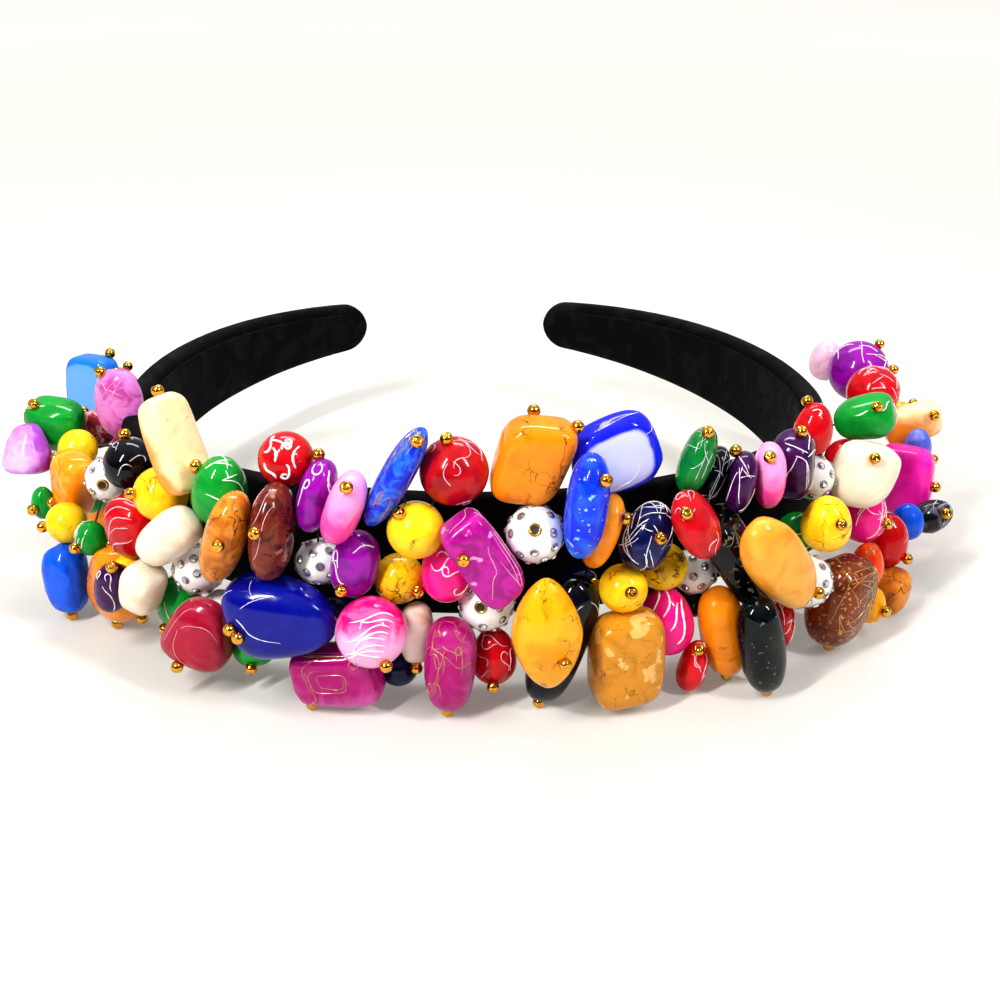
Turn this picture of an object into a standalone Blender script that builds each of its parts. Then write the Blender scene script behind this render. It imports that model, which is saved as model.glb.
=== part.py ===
"""Beaded velvet headband: an open C of padded velvet with a crowd of resin, drizzle and
rhinestone beads sewn over its crown and flanks, lying flat as on a table.

Lengths below are in millimetres and angles in degrees; the meshes are built in metres. A place on
the band is given by three numbers: arc (0 at the crown, + towards the wearer's left, which is the
picture's right), rise (height above the band's own mid-plane) and out (distance off its outer
face). settle() then moves the beads the little that clears them of each other, draws every bead
against a neighbour and levels the ones that stand on the table.
"""

import math
from typing import NamedTuple

import bmesh
import bpy
import numpy as np

MM = 0.001

# The band
HALF_SPAN = 74.0  # half of the widest distance across the band's centre line
CROWN_DEPTH = 54.0  # from the widest place forward to the crown
ARM_DEPTH = 82.0  # from the widest place back, as if the arms ran on until they met
TIP_ARC = 161.0  # where the arms end
BAND_THICK = 5.0
CROWN_WIDTH = 25.0
TIP_WIDTH = 11.5
NARROWING = 2.6  # power of the law that narrows the band from crown to tips
EDGE_ROUND = 2.1
BAND_FACETS = 39  # odd, so that one flat facet lies across the crown
LINING_THICK = 0.9
LINING_INSET = 1.7  # of the lining's edges from the band's edges
LINING_SHORT = 3.5  # how far the lining ends before the tips, in degrees

# How the beads are sewn on
GAP = 0.32  # air between pieces that are not fused
FIELD_GAP = 0.15  # air between two beads of one fused field, which meet only through their cord
CORD = 1.2  # diameter of the sewing cord that joins the beads of a field
CORD_OFF = 1.0  # its axis off the band's face
FLOOR = -25.4  # the table, below the band's mid-plane
STOPPER = 2.2  # diameter of the seed bead at the end of a thread
SLACK = 0.12  # beads that lie within GAP and this of each other count as touching
NUDGE = 0.3  # the most that a hanging bead is moved in one round
NEAREST = 2.0  # a bead with its own node keeps this far off the band's face, clear of the cord

# Sides of the bead meshes
OWN_SIDES, OWN_RINGS = 10, 6
FIELD_SIDES, FIELD_RINGS = 10, 5
STOPPER_SIDES, STOPPER_RINGS = 8, 4
SMALL = 11.2  # a field bead no longer than this has one ring fewer


class Shape(NamedTuple):
    """How a sphere is reshaped: 2 is round, more is squarer, less is more pointed."""

    outline: float
    section: float
    taper: float
    skew: float


SHAPES = {
    "ball": Shape(outline=2.0, section=2.0, taper=0.0, skew=0.0),
    "egg": Shape(outline=2.1, section=2.0, taper=-0.12, skew=0.0),
    "disc": Shape(outline=2.3, section=2.0, taper=0.0, skew=0.0),
    "slab": Shape(outline=3.4, section=2.6, taper=0.0, skew=0.06),
    "lean_slab": Shape(outline=3.4, section=2.6, taper=0.08, skew=0.2),
    "nugget": Shape(outline=2.6, section=2.3, taper=0.1, skew=0.08),
    "kite": Shape(outline=2.2, section=2.3, taper=-0.22, skew=0.15),
    "wedge": Shape(outline=2.7, section=2.4, taper=-0.32, skew=0.05),
    "diamond": Shape(outline=1.75, section=2.2, taper=0.0, skew=0.06),
    "capsule": Shape(outline=2.9, section=2.0, taper=0.05, skew=0.0),
    "leaf": Shape(outline=2.1, section=2.2, taper=0.12, skew=0.1),
}

COLOURS = {
    "light_blue": (0.25, 0.55, 0.85), "royal_blue": (0.02, 0.06, 0.6), "blue": (0.05, 0.2, 0.8),
    "navy": (0.01, 0.02, 0.12), "pink": (0.9, 0.25, 0.6), "hot_pink": (0.9, 0.02, 0.3),
    "magenta": (0.6, 0.01, 0.35), "purple": (0.3, 0.03, 0.4), "lilac": (0.6, 0.35, 0.75),
    "red": (0.75, 0.01, 0.02), "orange": (0.95, 0.3, 0.01), "peach": (0.95, 0.6, 0.3),
    "amber": (0.85, 0.42, 0.03), "yellow": (0.95, 0.65, 0.01), "green": (0.01, 0.4, 0.06),
    "cream": (0.85, 0.78, 0.62), "white": (0.85, 0.85, 0.82), "brown": (0.25, 0.07, 0.02),
    "black": (0.01, 0.01, 0.012), "rhinestone": (0.8, 0.8, 0.82), "gold": (0.8, 0.55, 0.15),
    "velvet": (0.008, 0.008, 0.01), "lining": (0.012, 0.012, 0.014),
}

OWN, FOOT, FIELD, PROP = "own", "foot", "field", "prop"


class Bead(NamedTuple):
    """One bead. Own beads and feet are nodes of their own; a foot and a prop reach the table."""

    name: str
    role: str
    shape: str
    colour: str
    size: tuple  # along, across and through
    arc: float
    rise: float
    out: float
    tilt: float = 0.0  # of its long axis from upright, towards higher arc
    turn: float = 0.0  # about its long axis: 90 stands it edge-on
    lean: float = 0.0  # of its upper end, outwards


BEADS = (
    # left flank, from the back to the front
    Bead("light_blue_slab", OWN, "slab", "light_blue", (14, 11.5, 7.5), -104, 6, 12, -6, 75),
    Bead("pink_oval_back", OWN, "disc", "pink", (17, 11.5, 8), -107, -0.5, 8, 4, 70),
    Bead("crystal_small", FIELD, "egg", "red", (8.5, 8, 8), -92, 2.5, 6.5),
    Bead("green_nugget_left", OWN, "nugget", "green", (12, 12.5, 9), -88, 6, 14, 10, 70),
    Bead("lilac_nugget", OWN, "wedge", "lilac", (10.5, 8.5, 8), -84, 3.5, 19, -20, 60),
    Bead("yellow_ball_a", FIELD, "ball", "yellow", (8.2, 8.2, 8.2), -79, 3, 9.5),
    Bead("green_small_a", FIELD, "egg", "green", (7, 5, 5), -79, -6, 17),
    Bead("orange_nugget", OWN, "nugget", "orange", (15, 9.6, 8), -73.2, -1.5, 10, 12, 20),
    Bead("rhinestone_a", FIELD, "ball", "rhinestone", (9, 9, 9), -70, 3, 7.5),
    Bead("black_ball_left", FIELD, "ball", "black", (10.4, 10.4, 10.4), -59.5, 10, 4.6),
    Bead("peach_slab", OWN, "slab", "peach", (18.5, 10, 6.5), -47, 18.5, 8, -23, 85),
    Bead("yellow_ball_b", FIELD, "ball", "yellow", (8.4, 8.4, 8.4), -71, -9, 13.5),
    Bead("malachite_small", FIELD, "egg", "green", (7, 6.5, 6.5), -65, -7.5, 12),
    Bead("blue_nugget_left", FOOT, "nugget", "blue", (14.5, 8.6, 8), -69.6, -17, 14.8, -14, 35),
    Bead("red_nugget", OWN, "nugget", "red", (12.5, 11, 9), -55, 0, 10, 10, 15),
    Bead("purple_oval_left", FIELD, "disc", "purple", (11.5, 6.5, 6), -54.5, -10.5, 16, 15, 20),
    Bead("amber_flat", FOOT, "nugget", "amber", (17, 14.5, 9), -60, -16, 11, 30, 5),
    Bead("yellow_ball_c", FIELD, "ball", "yellow", (10.4, 10.4, 10.4), -45.5, 9.5, 10.5),
    Bead("green_egg", OWN, "egg", "green", (13.3, 10.2, 10.2), -36.5, 13, 11, 8),
    Bead("cream_long", OWN, "capsule", "cream", (16, 8.5, 8), -44.6, 5.5, 11.5, 50, 0),
    Bead("cream_low", FIELD, "nugget", "cream", (11, 8, 8), -48, -8.5, 14, 15, 0),
    Bead("rhinestone_b", FIELD, "ball", "rhinestone", (10.2, 10.2, 10.2), -42.5, -3, 9.5),
    Bead("green_ball_left", FIELD, "egg", "green", (11, 8.8, 8.8), -47, -12, 10.5),
    Bead("red_wedge", OWN, "wedge", "red", (14, 12, 9), -38.6, -12.7, 15.5, 12, 5),
    Bead("amber_disc", OWN, "disc", "amber", (18, 11, 7.5), -33.2, 9.8, 15, 18, 100),
    Bead("tiger_disc", OWN, "disc", "brown", (18, 12.5, 7.5), -28, 11, 14, 6, 95),
    Bead("red_ball_left", FIELD, "ball", "red", (10, 10, 10), -28, 21, 8),
    Bead("purple_disc", FIELD, "disc", "magenta", (14, 9.5, 6.5), -24, 16.5, 11, 14, 90),
    Bead("pink_disc_left", OWN, "disc", "pink", (14, 10.5, 6.5), -18.5, 17, 14.5, 20, 90),
    Bead("rhinestone_c", FIELD, "ball", "rhinestone", (8.4, 8.4, 8.4), -23.5, 3, 9.5),
    Bead("magenta_oval_left", FIELD, "disc", "magenta", (13, 8.5, 8), -17.8, 4.5, 13, 12, 40),
    Bead("blue_kite", OWN, "kite", "royal_blue", (20.5, 15, 11), -27, -5, 16, 78, 0),
    Bead("green_low", FIELD, "disc", "green", (9, 7.5, 6), -33.5, -17, 11, 70, 0),
    # the crown, left half
    Bead("blue_slender", OWN, "disc", "blue", (20.5, 10.5, 5.5), -13.2, 21.8, 12, 28, 90),
    Bead("red_ball_crown", OWN, "ball", "red", (12.2, 12.2, 12.2), -6.6, 22.8, 9.5),
    Bead("yellow_ball_crown", OWN, "ball", "yellow", (10.2, 10.2, 10.2), -10.3, 13.8, 13.5),
    Bead("magenta_slab", OWN, "slab", "magenta", (18, 9.2, 8.4), -2.8, 10, 16, -34, 12),
    Bead("hot_pink_ball", FIELD, "egg", "hot_pink", (12, 9, 9), -7.6, 4, 11),
    Bead("yellow_ball_d", FIELD, "ball", "yellow", (9.2, 9.2, 9.2), -12.8, 1, 9.5),
    Bead("pink_striped_ball", OWN, "ball", "pink", (13, 13, 13), -16.2, -7, 16),
    Bead("magenta_drizzle_slab", FOOT, "slab", "magenta", (16.5, 11.5, 8.5), -20.5, -17, 13.5, 80, 0),
    Bead("pinkish_oval", FIELD, "capsule", "peach", (12, 6.2, 6.2), -10.5, -10, 10.5),
    Bead("magenta_capsule", FOOT, "capsule", "magenta", (19, 9.4, 9), -6.9, -12, 13, 2),
    Bead("rhinestone_d", FIELD, "ball", "rhinestone", (10.2, 10.2, 10.2), -2.3, -4, 9.5),
    Bead("red_ball_low", FIELD, "egg", "red", (11, 8.6, 8.6), -1, -15.5, 8.5),
    # the crown, right half
    Bead("amber_block", OWN, "lean_slab", "amber", (15.5, 12.5, 9), 3, 22.3, 10, 8, 0),
    Bead("rhinestone_crown", OWN, "ball", "rhinestone", (10.2, 10.2, 10.2), 2.7, 13.5, 13),
    Bead("amber_diamond", OWN, "diamond", "yellow", (22.5, 12.5, 9), 5, -5, 16.5, -6, 5),
    Bead("black_long", FOOT, "capsule", "black", (26.5, 10, 8.5), 7.8, -12, 10, 16, 10),
    Bead("navy_ball", FIELD, "ball", "navy", (7.6, 7.6, 7.6), 10.2, -4, 8.5),
    Bead("blue_large", OWN, "nugget", "blue", (16.5, 14, 8), 13.9, 22.8, 8, 70, 0),
    Bead("blue_oval", OWN, "disc", "blue", (19.5, 11, 7.5), 9.6, 17.8, 15.5, 5, 75),
    Bead("yellow_ball_e", FIELD, "ball", "yellow", (9, 9, 9), 15, -3.5, 13.5),
    Bead("amber_large_slab", FOOT, "slab", "amber", (18.5, 14, 9), 14.8, -14, 14, -4, 0),
    Bead("orange_disc", FIELD, "disc", "orange", (14.2, 9.5, 6), 13.6, 10.8, 12, 18, 80),
    Bead("web_ball", OWN, "egg", "navy", (13, 9.4, 9.4), 16.4, 10.3, 13.5, 20),
    Bead("red_disc_right", OWN, "disc", "red", (13.5, 11, 6.5), 22, 13, 13.5, -38, 50),
    Bead("yellow_ball_f", FIELD, "ball", "yellow", (9.2, 9.2, 9.2), 21.4, 0.3, 9),
    Bead("rhinestone_e", FIELD, "ball", "rhinestone", (8.6, 8.6, 8.6), 27, -3.4, 8),
    Bead("hot_pink_banded", FIELD, "egg", "hot_pink", (14, 10, 10), 22.6, -11.3, 11, -12),
    Bead("red_small_b", FIELD, "egg", "red", (10.5, 5.8, 5.8), 25.6, -18.5, 13, 12),
    Bead("amber_capsule", FOOT, "capsule", "amber", (19.5, 8.4, 8.4), 29, -13, 14, -12),
    Bead("black_flake_slab", OWN, "slab", "black", (22, 11.5, 7), 31.6, 3.6, 14.6, -36, 50),
    Bead("green_disc_top", FIELD, "disc", "green", (12.5, 10, 6), 25.2, 18.3, 11, 18, 50),
    Bead("web_disc_dark", FIELD, "disc", "black", (12.5, 8.5, 5), 27.6, 16.5, 8, 22, 60),
    Bead("purple_oval_right", FIELD, "disc", "purple", (11.5, 8.5, 5.5), 30.8, 15.2, 10.5, 8, 50),
    Bead("pink_disc_right", FIELD, "disc", "pink", (12.5, 10, 6), 35.6, 16, 11, -2, 55),
    # right flank, from the front to the back
    Bead("black_long_right", FOOT, "capsule", "black", (21, 8.6, 8.4), 31.4, -15, 20.1, -14),
    Bead("amber_leaf", OWN, "leaf", "amber", (24.5, 11.4, 7.6), 33.6, 0.6, 16.1, -41, 5),
    Bead("green_ball_right", FIELD, "ball", "green", (8.6, 8.6, 8.6), 46, 0.1, 10.5),
    Bead("yellow_ball_g", FIELD, "egg", "yellow", (11, 9.6, 9.6), 46, 2, 13),
    Bead("rhinestone_right", OWN, "ball", "rhinestone", (10.2, 10.2, 10.2), 42.6, -7.3, 16.5),
    Bead("red_striped_small", FIELD, "disc", "red", (11.5, 7, 5), 40.8, -17, 12.5, -4, 60),
    Bead("navy_nugget", FIELD, "nugget", "navy", (13, 9, 8), 43.7, 14, 8, -10, 30),
    Bead("red_oval_right", FIELD, "egg", "red", (10.5, 8, 7.5), 51, 17.5, 5.5, 6),
    Bead("rhinestone_f", FIELD, "ball", "rhinestone", (8.8, 8.8, 8.8), 51.7, 9.5, 8.5),
    Bead("cream_nugget_right", OWN, "nugget", "cream", (13.5, 13, 9.5), 54.8, 8.5, 12, 20, -40),
    Bead("green_nugget_right", OWN, "nugget", "green", (12.5, 10.5, 9), 72, 11.5, 8, 0, 0, 72),
    Bead("web_ball_pink", FIELD, "egg", "magenta", (12.5, 9, 9), 60, -2.7, 13.5),
    Bead("red_ball_right", FIELD, "egg", "red", (12, 9, 9), 66.5, -11, 17),
    Bead("orange_ball_right", FIELD, "egg", "orange", (10, 7, 7), 58, -12, 16.5),
    Bead("brown_web_nugget", FOOT, "nugget", "brown", (18.5, 14.5, 11), 48.1, -14, 17.2, 8, 0),
    Bead("amber_small_right", FIELD, "egg", "amber", (8, 6.5, 6.5), 56, -18, 19),
    Bead("amber_nugget_low", PROP, "nugget", "amber", (9, 8, 7.5), 64, -19, 20),
    Bead("hot_pink_slab", OWN, "slab", "hot_pink", (15, 12.5, 7.5), 82, -6.2, 20, 0, 70),
    Bead("peach_slab_right", OWN, "slab", "peach", (13, 8, 6.5), 89, 2, 22.5, 0, 90, 75),
    Bead("purple_web_ball", OWN, "ball", "purple", (14.5, 14.5, 14.5), 104, 5.3, 19.5),
    Bead("red_splash_ball", OWN, "ball", "red", (12, 12, 12), 93, 8, 14),
    Bead("pale_pink_back", FIELD, "egg", "pink", (10, 8, 8), 109, 4.6, 17.5),
    Bead("yellow_small_c", FIELD, "ball", "yellow", (7, 7, 7), 94, 0.5, 22.5),
    Bead("periwinkle_small", FIELD, "egg", "lilac", (9, 6.5, 6.5), 85, -1, 21),
    Bead("grey_small", FIELD, "egg", "black", (9, 7, 7), 77, -11, 24.5, 0, 0, 60),
    Bead("blue_small", FIELD, "egg", "blue", (8, 7, 7), 71, -9.5, 19.5),
    # plain beads where the picture shows none: the base of the crowd and the backs of the flanks
    Bead("prop_left", PROP, "ball", "orange", (12, 12, 12), -97, -19, 8),
    Bead("base_left_back", FIELD, "ball", "magenta", (8.5, 8.5, 8.5), -101, -3, 5),
    Bead("base_left_low", FIELD, "ball", "green", (10, 10, 10), -87, -9, 8),
    Bead("base_cream", FIELD, "ball", "red", (9, 9, 9), 70, 4, 5.5),
    Bead("prop_right", PROP, "ball", "purple", (12, 12, 12), 98, -19, 8),
    Bead("base_right_low", FIELD, "ball", "orange", (10, 10, 10), 88, -9, 7.5),
)


def plan_point(arc):
    """Points of the band's centre line, seen from above."""
    angle = np.radians(np.asarray(arc, float))
    depth = np.where(np.cos(angle) > 0, CROWN_DEPTH, ARM_DEPTH)
    return np.stack([HALF_SPAN * np.sin(angle), -depth * np.cos(angle)], -1)


def plan_normal(arc):
    """Outward directions there."""
    arc = np.asarray(arc, float)
    along = plan_point(arc + 0.01) - plan_point(arc - 0.01)
    along = along / np.linalg.norm(along, axis=-1, keepdims=True)
    return np.stack([along[..., 1], -along[..., 0]], -1)


def band_width(arc):
    return CROWN_WIDTH + (TIP_WIDTH - CROWN_WIDTH) * (np.abs(arc) / TIP_ARC) ** NARROWING


def on_band(arc, rise, out):
    """The point in space for a place on the band."""
    spot = plan_point(arc) + plan_normal(arc) * (BAND_THICK / 2 + out)
    return np.array([spot[0], spot[1], rise])


def frame_at(arc):
    """Columns: along the band, up, and out of it."""
    out = plan_normal(arc)
    return np.array([[-out[1], 0.0, out[0]], [out[0], 0.0, out[1]], [0.0, 1.0, 0.0]])


def rotation(axis, degrees):
    """Rotation matrix about axis 0, 1 or 2."""
    turn = math.radians(degrees)
    cos, sin = math.cos(turn), math.sin(turn)
    first, second = (axis + 1) % 3, (axis + 2) % 3
    made = np.eye(3)
    made[first, first] = made[second, second] = cos
    made[first, second], made[second, first] = -sin, sin
    return made


def bead_pose(bead):
    """The bead's axes (across, along, through) as columns."""
    spin = rotation(2, -bead.tilt) @ rotation(0, bead.lean) @ rotation(1, bead.turn)
    return frame_at(bead.arc) @ spin


def reshaped(points, shape, size):
    """A unit sphere's points moved onto the bead's surface, along Y, across X and through Z."""
    along, across, through = (side / 2 for side in size)
    height = np.clip(points[:, 2], -1.0, 1.0)
    girth = np.sqrt(np.clip(1.0 - height**2, 0.0, 1.0))
    turn = np.arctan2(-points[:, 1], points[:, 0])  # so that the sphere is not mirrored
    level = np.sign(height) * np.abs(height) ** (2 / shape.outline)
    reach = girth ** (2 / shape.outline)
    wide = np.sign(np.cos(turn)) * np.abs(np.cos(turn)) ** (2 / shape.section)
    deep = np.sign(np.sin(turn)) * np.abs(np.sin(turn)) ** (2 / shape.section)
    grown = reach * (1.0 + shape.taper * level)
    return np.stack(
        [across * (wide * grown + shape.skew * level), along * level, through * deep * grown], -1
    )


def sphere_mesh(sides, rings):
    mesh = bmesh.new()
    bmesh.ops.create_uvsphere(mesh, u_segments=sides, v_segments=rings, radius=1.0)
    return mesh


def bead_points(bead, sides, rings):
    """The bead's corners about its own centre, posed on the band."""
    mesh = sphere_mesh(sides, rings)
    points = np.array([tuple(corner.co) for corner in mesh.verts])
    mesh.free()
    # A ring of an even count has a corner on each axis, and the poles lie along the bead.
    return reshaped(points, SHAPES[bead.shape], bead.size) @ bead_pose(bead).T


def even_directions(count):
    """Directions spread evenly over a sphere, followed by their opposites."""
    step = np.arange(count) + 0.5
    height = 1.0 - step / count
    turn = step * math.pi * (3.0 - math.sqrt(5.0))
    flat = np.sqrt(1.0 - height**2)
    half = np.stack([flat * np.cos(turn), flat * np.sin(turn), height], -1)
    return np.concatenate([half, -half])


class Packing:
    """Beads, stems and lengths of the band as convex shapes, known by how far they reach in each
    of many directions. Two of them are apart when some direction says so."""

    def __init__(self, beads):
        self.beads = beads
        self.ways = even_directions(210)
        self.back = np.roll(np.arange(len(self.ways)), len(self.ways) // 2)
        self.own = np.array([bead.role in (OWN, FOOT) for bead in beads])
        self.stands = np.array([bead.role in (FOOT, PROP) for bead in beads])
        self.goal = np.array([on_band(bead.arc, bead.rise, bead.out) for bead in beads])
        self.outward = np.array([frame_at(bead.arc)[:, 2] for bead in beads])
        shapes = [
            bead_points(bead, OWN_SIDES, OWN_RINGS)
            if bead.role in (OWN, FOOT)
            else bead_points(bead, FIELD_SIDES, FIELD_RINGS)
            for bead in beads
        ]
        self.low = np.array([points[:, 2].min() for points in shapes])
        drop = np.where([bead.role == FOOT for bead in beads], STOPPER * 0.8, 0.0)
        self.floor = FLOOR + drop - self.low
        self.goal[:, 2] = np.where(
            self.stands, self.floor, np.maximum(self.goal[:, 2], self.floor + 0.4)
        )
        self.reach = np.array([(points @ self.ways.T).max(axis=0) for points in shapes])
        self.place = self.goal.copy()
        self.add_band()
        self.add_stems()

    def add_band(self):
        """The band as overlapping convex lengths, each of three facets."""
        arcs = band_arcs()
        self.band_spots, reach = [], []
        for first in range(0, len(arcs) - 3, 2):
            ring = np.concatenate([band_section(arc, 0.0) for arc in arcs[first : first + 4]])
            middle = ring.mean(axis=0)
            self.band_spots.append(middle)
            reach.append(((ring - middle) @ self.ways.T).max(axis=0))
        self.band_spots = np.array(self.band_spots)
        self.band_reach = np.array(reach)

    def add_stems(self):
        """The length of cord from each bead of the field down to the band's face."""
        self.stem_of = np.flatnonzero(~self.own)
        reach = []
        for index in self.stem_of:
            foot = self.stem_foot(index) - self.place[index]
            reach.append(np.maximum(0.0, foot @ self.ways.T) + CORD / 2)
        self.stem_reach = np.array(reach)

    def stem_foot(self, index):
        """Where the stem of a bead of the field meets the cord on the band's face."""
        bead = self.beads[index]
        off = self.outward[index] @ (self.place[index] - self.goal[index])
        edge = band_width(bead.arc) / 2 - EDGE_ROUND - CORD
        foot = self.place[index] - self.outward[index] * (bead.out + off - CORD_OFF)
        foot[2] = min(max(foot[2], -edge), edge)
        return foot

    def apart(self, first, first_reach, second, second_reach, limit):
        """For each near pair: indices, the best gap, and the direction from second to first."""
        offset = first[:, None, :] - second[None, :, :]
        size = first_reach.max(axis=1)[:, None] + second_reach.max(axis=1)[None, :]
        near = np.linalg.norm(offset, axis=2) < size + limit
        rows, columns = np.nonzero(near)
        gaps = (
            offset[rows, columns] @ self.ways.T
            - second_reach[columns]
            - first_reach[rows][:, self.back]
        )
        best = gaps.argmax(axis=1)
        return rows, columns, gaps[np.arange(len(rows)), best], self.ways[best]

    def push(self, share):
        """One round of moving overlapping shapes apart; returns the worst overlap left."""
        move = np.zeros_like(self.place)
        worst = 0.0
        rows, columns, gap, way = self.apart(self.place, self.reach, self.place, self.reach, 1.0)
        once = rows < columns
        rows, columns, gap, way = rows[once], columns[once], gap[once], way[once]
        fused = ~self.own[rows] & ~self.own[columns]
        lack = np.where(fused, FIELD_GAP, GAP) - gap
        rows, columns, lack, way = (part[lack > 0] for part in (rows, columns, lack, way))
        if len(lack):
            worst = lack.max()
        np.add.at(move, rows, way * (lack * share * 0.5)[:, None])
        np.add.at(move, columns, -way * (lack * share * 0.5)[:, None])
        rows, columns, gap, way = self.apart(
            self.place, self.reach, self.band_spots, self.band_reach, 3.0
        )
        lack = np.where(self.own[rows], NEAREST, GAP) - gap
        rows, lack, way = rows[lack > 0], lack[lack > 0], way[lack > 0]
        if len(lack):
            worst = max(worst, lack.max())
        np.add.at(move, rows, way * (lack * share)[:, None])
        owned = np.flatnonzero(self.own)
        rows, columns, gap, way = self.apart(
            self.place[owned], self.reach[owned], self.place[self.stem_of], self.stem_reach, 1.0
        )
        lack = GAP - gap
        rows, columns, lack, way = (part[lack > 0] for part in (rows, columns, lack, way))
        if len(lack):
            worst = max(worst, lack.max())
        np.add.at(move, owned[rows], way * (lack * share * 0.7)[:, None])
        np.add.at(move, self.stem_of[columns], -way * (lack * share * 0.3)[:, None])
        self.place += move
        self.place[:, 2] = np.where(
            self.stands, self.floor, np.maximum(self.place[:, 2], self.floor + 0.4)
        )
        return worst

    def settle(self):
        """Spreads the crowd until nothing overlaps, held near the places it was given."""
        for step in range(260):
            self.push(0.5)
            self.place += (self.goal - self.place) * (0.06 if step < 160 else 0.015)
        for _ in range(900):
            if self.push(0.6) < 0.004:
                break
        self.draw_close()

    def tied(self):
        """Which beads reach the sewing cord through a chain of near neighbours."""
        rows, columns, gap, _ = self.apart(self.place, self.reach, self.place, self.reach, 1.0)
        touching = (gap < GAP + SLACK) & (rows != columns)
        rows, columns = rows[touching], columns[touching]
        found = ~self.own
        while True:
            more = found.copy()
            more[rows[found[columns]]] = True
            if (more == found).all():
                return found
            found = more

    def draw_close(self):
        """Moves each bead that hangs free, a little at a time, to the nearest one that doesn't."""
        for _ in range(80):
            tied = self.tied()
            loose = np.flatnonzero(~tied)
            if not len(loose):
                return
            held = np.flatnonzero(tied)
            rows, _, gap, way = self.apart(
                self.place[loose], self.reach[loose], self.place[held], self.reach[held], 60.0
            )
            for row in np.unique(rows):
                best = np.flatnonzero(rows == row)[gap[rows == row].argmin()]
                step = min(max(gap[best] - GAP, 0.0), NUDGE)
                self.place[loose[row]] -= way[best] * step
            for _ in range(60):
                if self.push(0.6) < 0.004:
                    break


def band_arcs():
    """Where the band's sections stand: even facets, then a few that round the tips."""
    facets = np.linspace(-TIP_ARC, TIP_ARC, BAND_FACETS + 1)
    pace = np.linalg.norm(plan_point(TIP_ARC) - plan_point(TIP_ARC - 1.0))
    rounding = np.array([2.6, 1.2, 0.3]) / pace
    inner = facets[np.abs(facets) < TIP_ARC - 5.5 / pace]
    return np.concatenate([-TIP_ARC + rounding[::-1], inner, TIP_ARC - rounding])


def tip_share(arc):
    """How much of its width the band keeps near a rounded tip."""
    pace = np.linalg.norm(plan_point(TIP_ARC) - plan_point(TIP_ARC - 1.0))
    left = (TIP_ARC - abs(arc)) * pace
    radius = TIP_WIDTH / 2
    if left >= radius:
        return 1.0
    return math.sqrt(max(0.0, 1.0 - (1.0 - left / radius) ** 2))


def band_section(arc, grow):
    """One rounded-oblong section of the band, as points in space."""
    share = tip_share(arc)
    half_width = band_width(arc) / 2 * share + grow
    half_thick = BAND_THICK / 2 * (0.55 + 0.45 * share) + grow
    radius = min(EDGE_ROUND, half_thick * 0.9, half_width * 0.9)
    ring = []
    for corner, (side_out, side_up) in enumerate(((1, 1), (-1, 1), (-1, -1), (1, -1))):
        for turn in (math.radians(90 * corner + 20), math.radians(90 * corner + 70)):
            ring.append(
                (
                    side_out * (half_thick - radius) + radius * math.cos(turn),
                    side_up * (half_width - radius) + radius * math.sin(turn),
                )
            )
    spot, normal = plan_point(arc), plan_normal(arc)
    return np.array([[*(spot + normal * out), rise] for out, rise in ring])


def loft(name, rings):
    """A closed mesh through rings of equal count, with flat ends."""
    mesh = bmesh.new()
    rows = [[mesh.verts.new(point * MM) for point in ring] for ring in rings]
    count = len(rows[0])
    for here, there in zip(rows, rows[1:]):
        for index in range(count):
            after = (index + 1) % count
            mesh.faces.new((here[index], there[index], there[after], here[after]))
    mesh.faces.new(rows[0])
    mesh.faces.new(rows[-1][::-1])
    mesh.normal_update()
    bmesh.ops.recalc_face_normals(mesh, faces=mesh.faces)
    return finished(name, mesh)


def finished(name, mesh):
    """An object from a bmesh, facing outwards."""
    data = bpy.data.meshes.new(name)
    mesh.to_mesh(data)
    mesh.free()
    return bpy.data.objects.new(name, data)


def bead_object(name, bead, place, sides, rings):
    mesh = sphere_mesh(sides, rings)
    points = np.array([tuple(corner.co) for corner in mesh.verts])
    moved = reshaped(points, SHAPES[bead.shape], bead.size) @ bead_pose(bead).T + place
    for corner, point in zip(mesh.verts, moved):
        corner.co = point * MM
    return finished(name, mesh)


def tube(name, start, end, width, sides=4):
    """A straight rod between two points."""
    along = end - start
    along = along / np.linalg.norm(along)
    side = np.cross(along, [0.0, 0.0, 1.0] if abs(along[2]) < 0.9 else [1.0, 0.0, 0.0])
    side = side / np.linalg.norm(side)
    other = np.cross(along, side)
    turns = 2 * math.pi * np.arange(sides) / sides
    ring = (np.outer(np.cos(turns), side) + np.outer(np.sin(turns), other)) * width / 2
    return loft(name, [start + ring, end + ring])


def coloured(obj, colour, roughness=0.25):
    material = bpy.data.materials.new(obj.name)
    material.use_nodes = True
    shader = material.node_tree.nodes["Principled BSDF"]
    shader.inputs["Base Color"].default_value = (*COLOURS[colour], 1.0)
    shader.inputs["Roughness"].default_value = roughness
    obj.data.materials.append(material)


def joined(obj, others, cutters):
    """Unions other objects into one."""
    helpers = bpy.data.collections.new(obj.name + "_parts")
    cutters.children.link(helpers)
    for other in others:
        helpers.objects.link(other)
    union = obj.modifiers.new("union", "BOOLEAN")
    union.operation = "UNION"
    union.solver = "EXACT"
    union.use_self = True
    union.operand_type = "COLLECTION"
    union.collection = helpers


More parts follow.
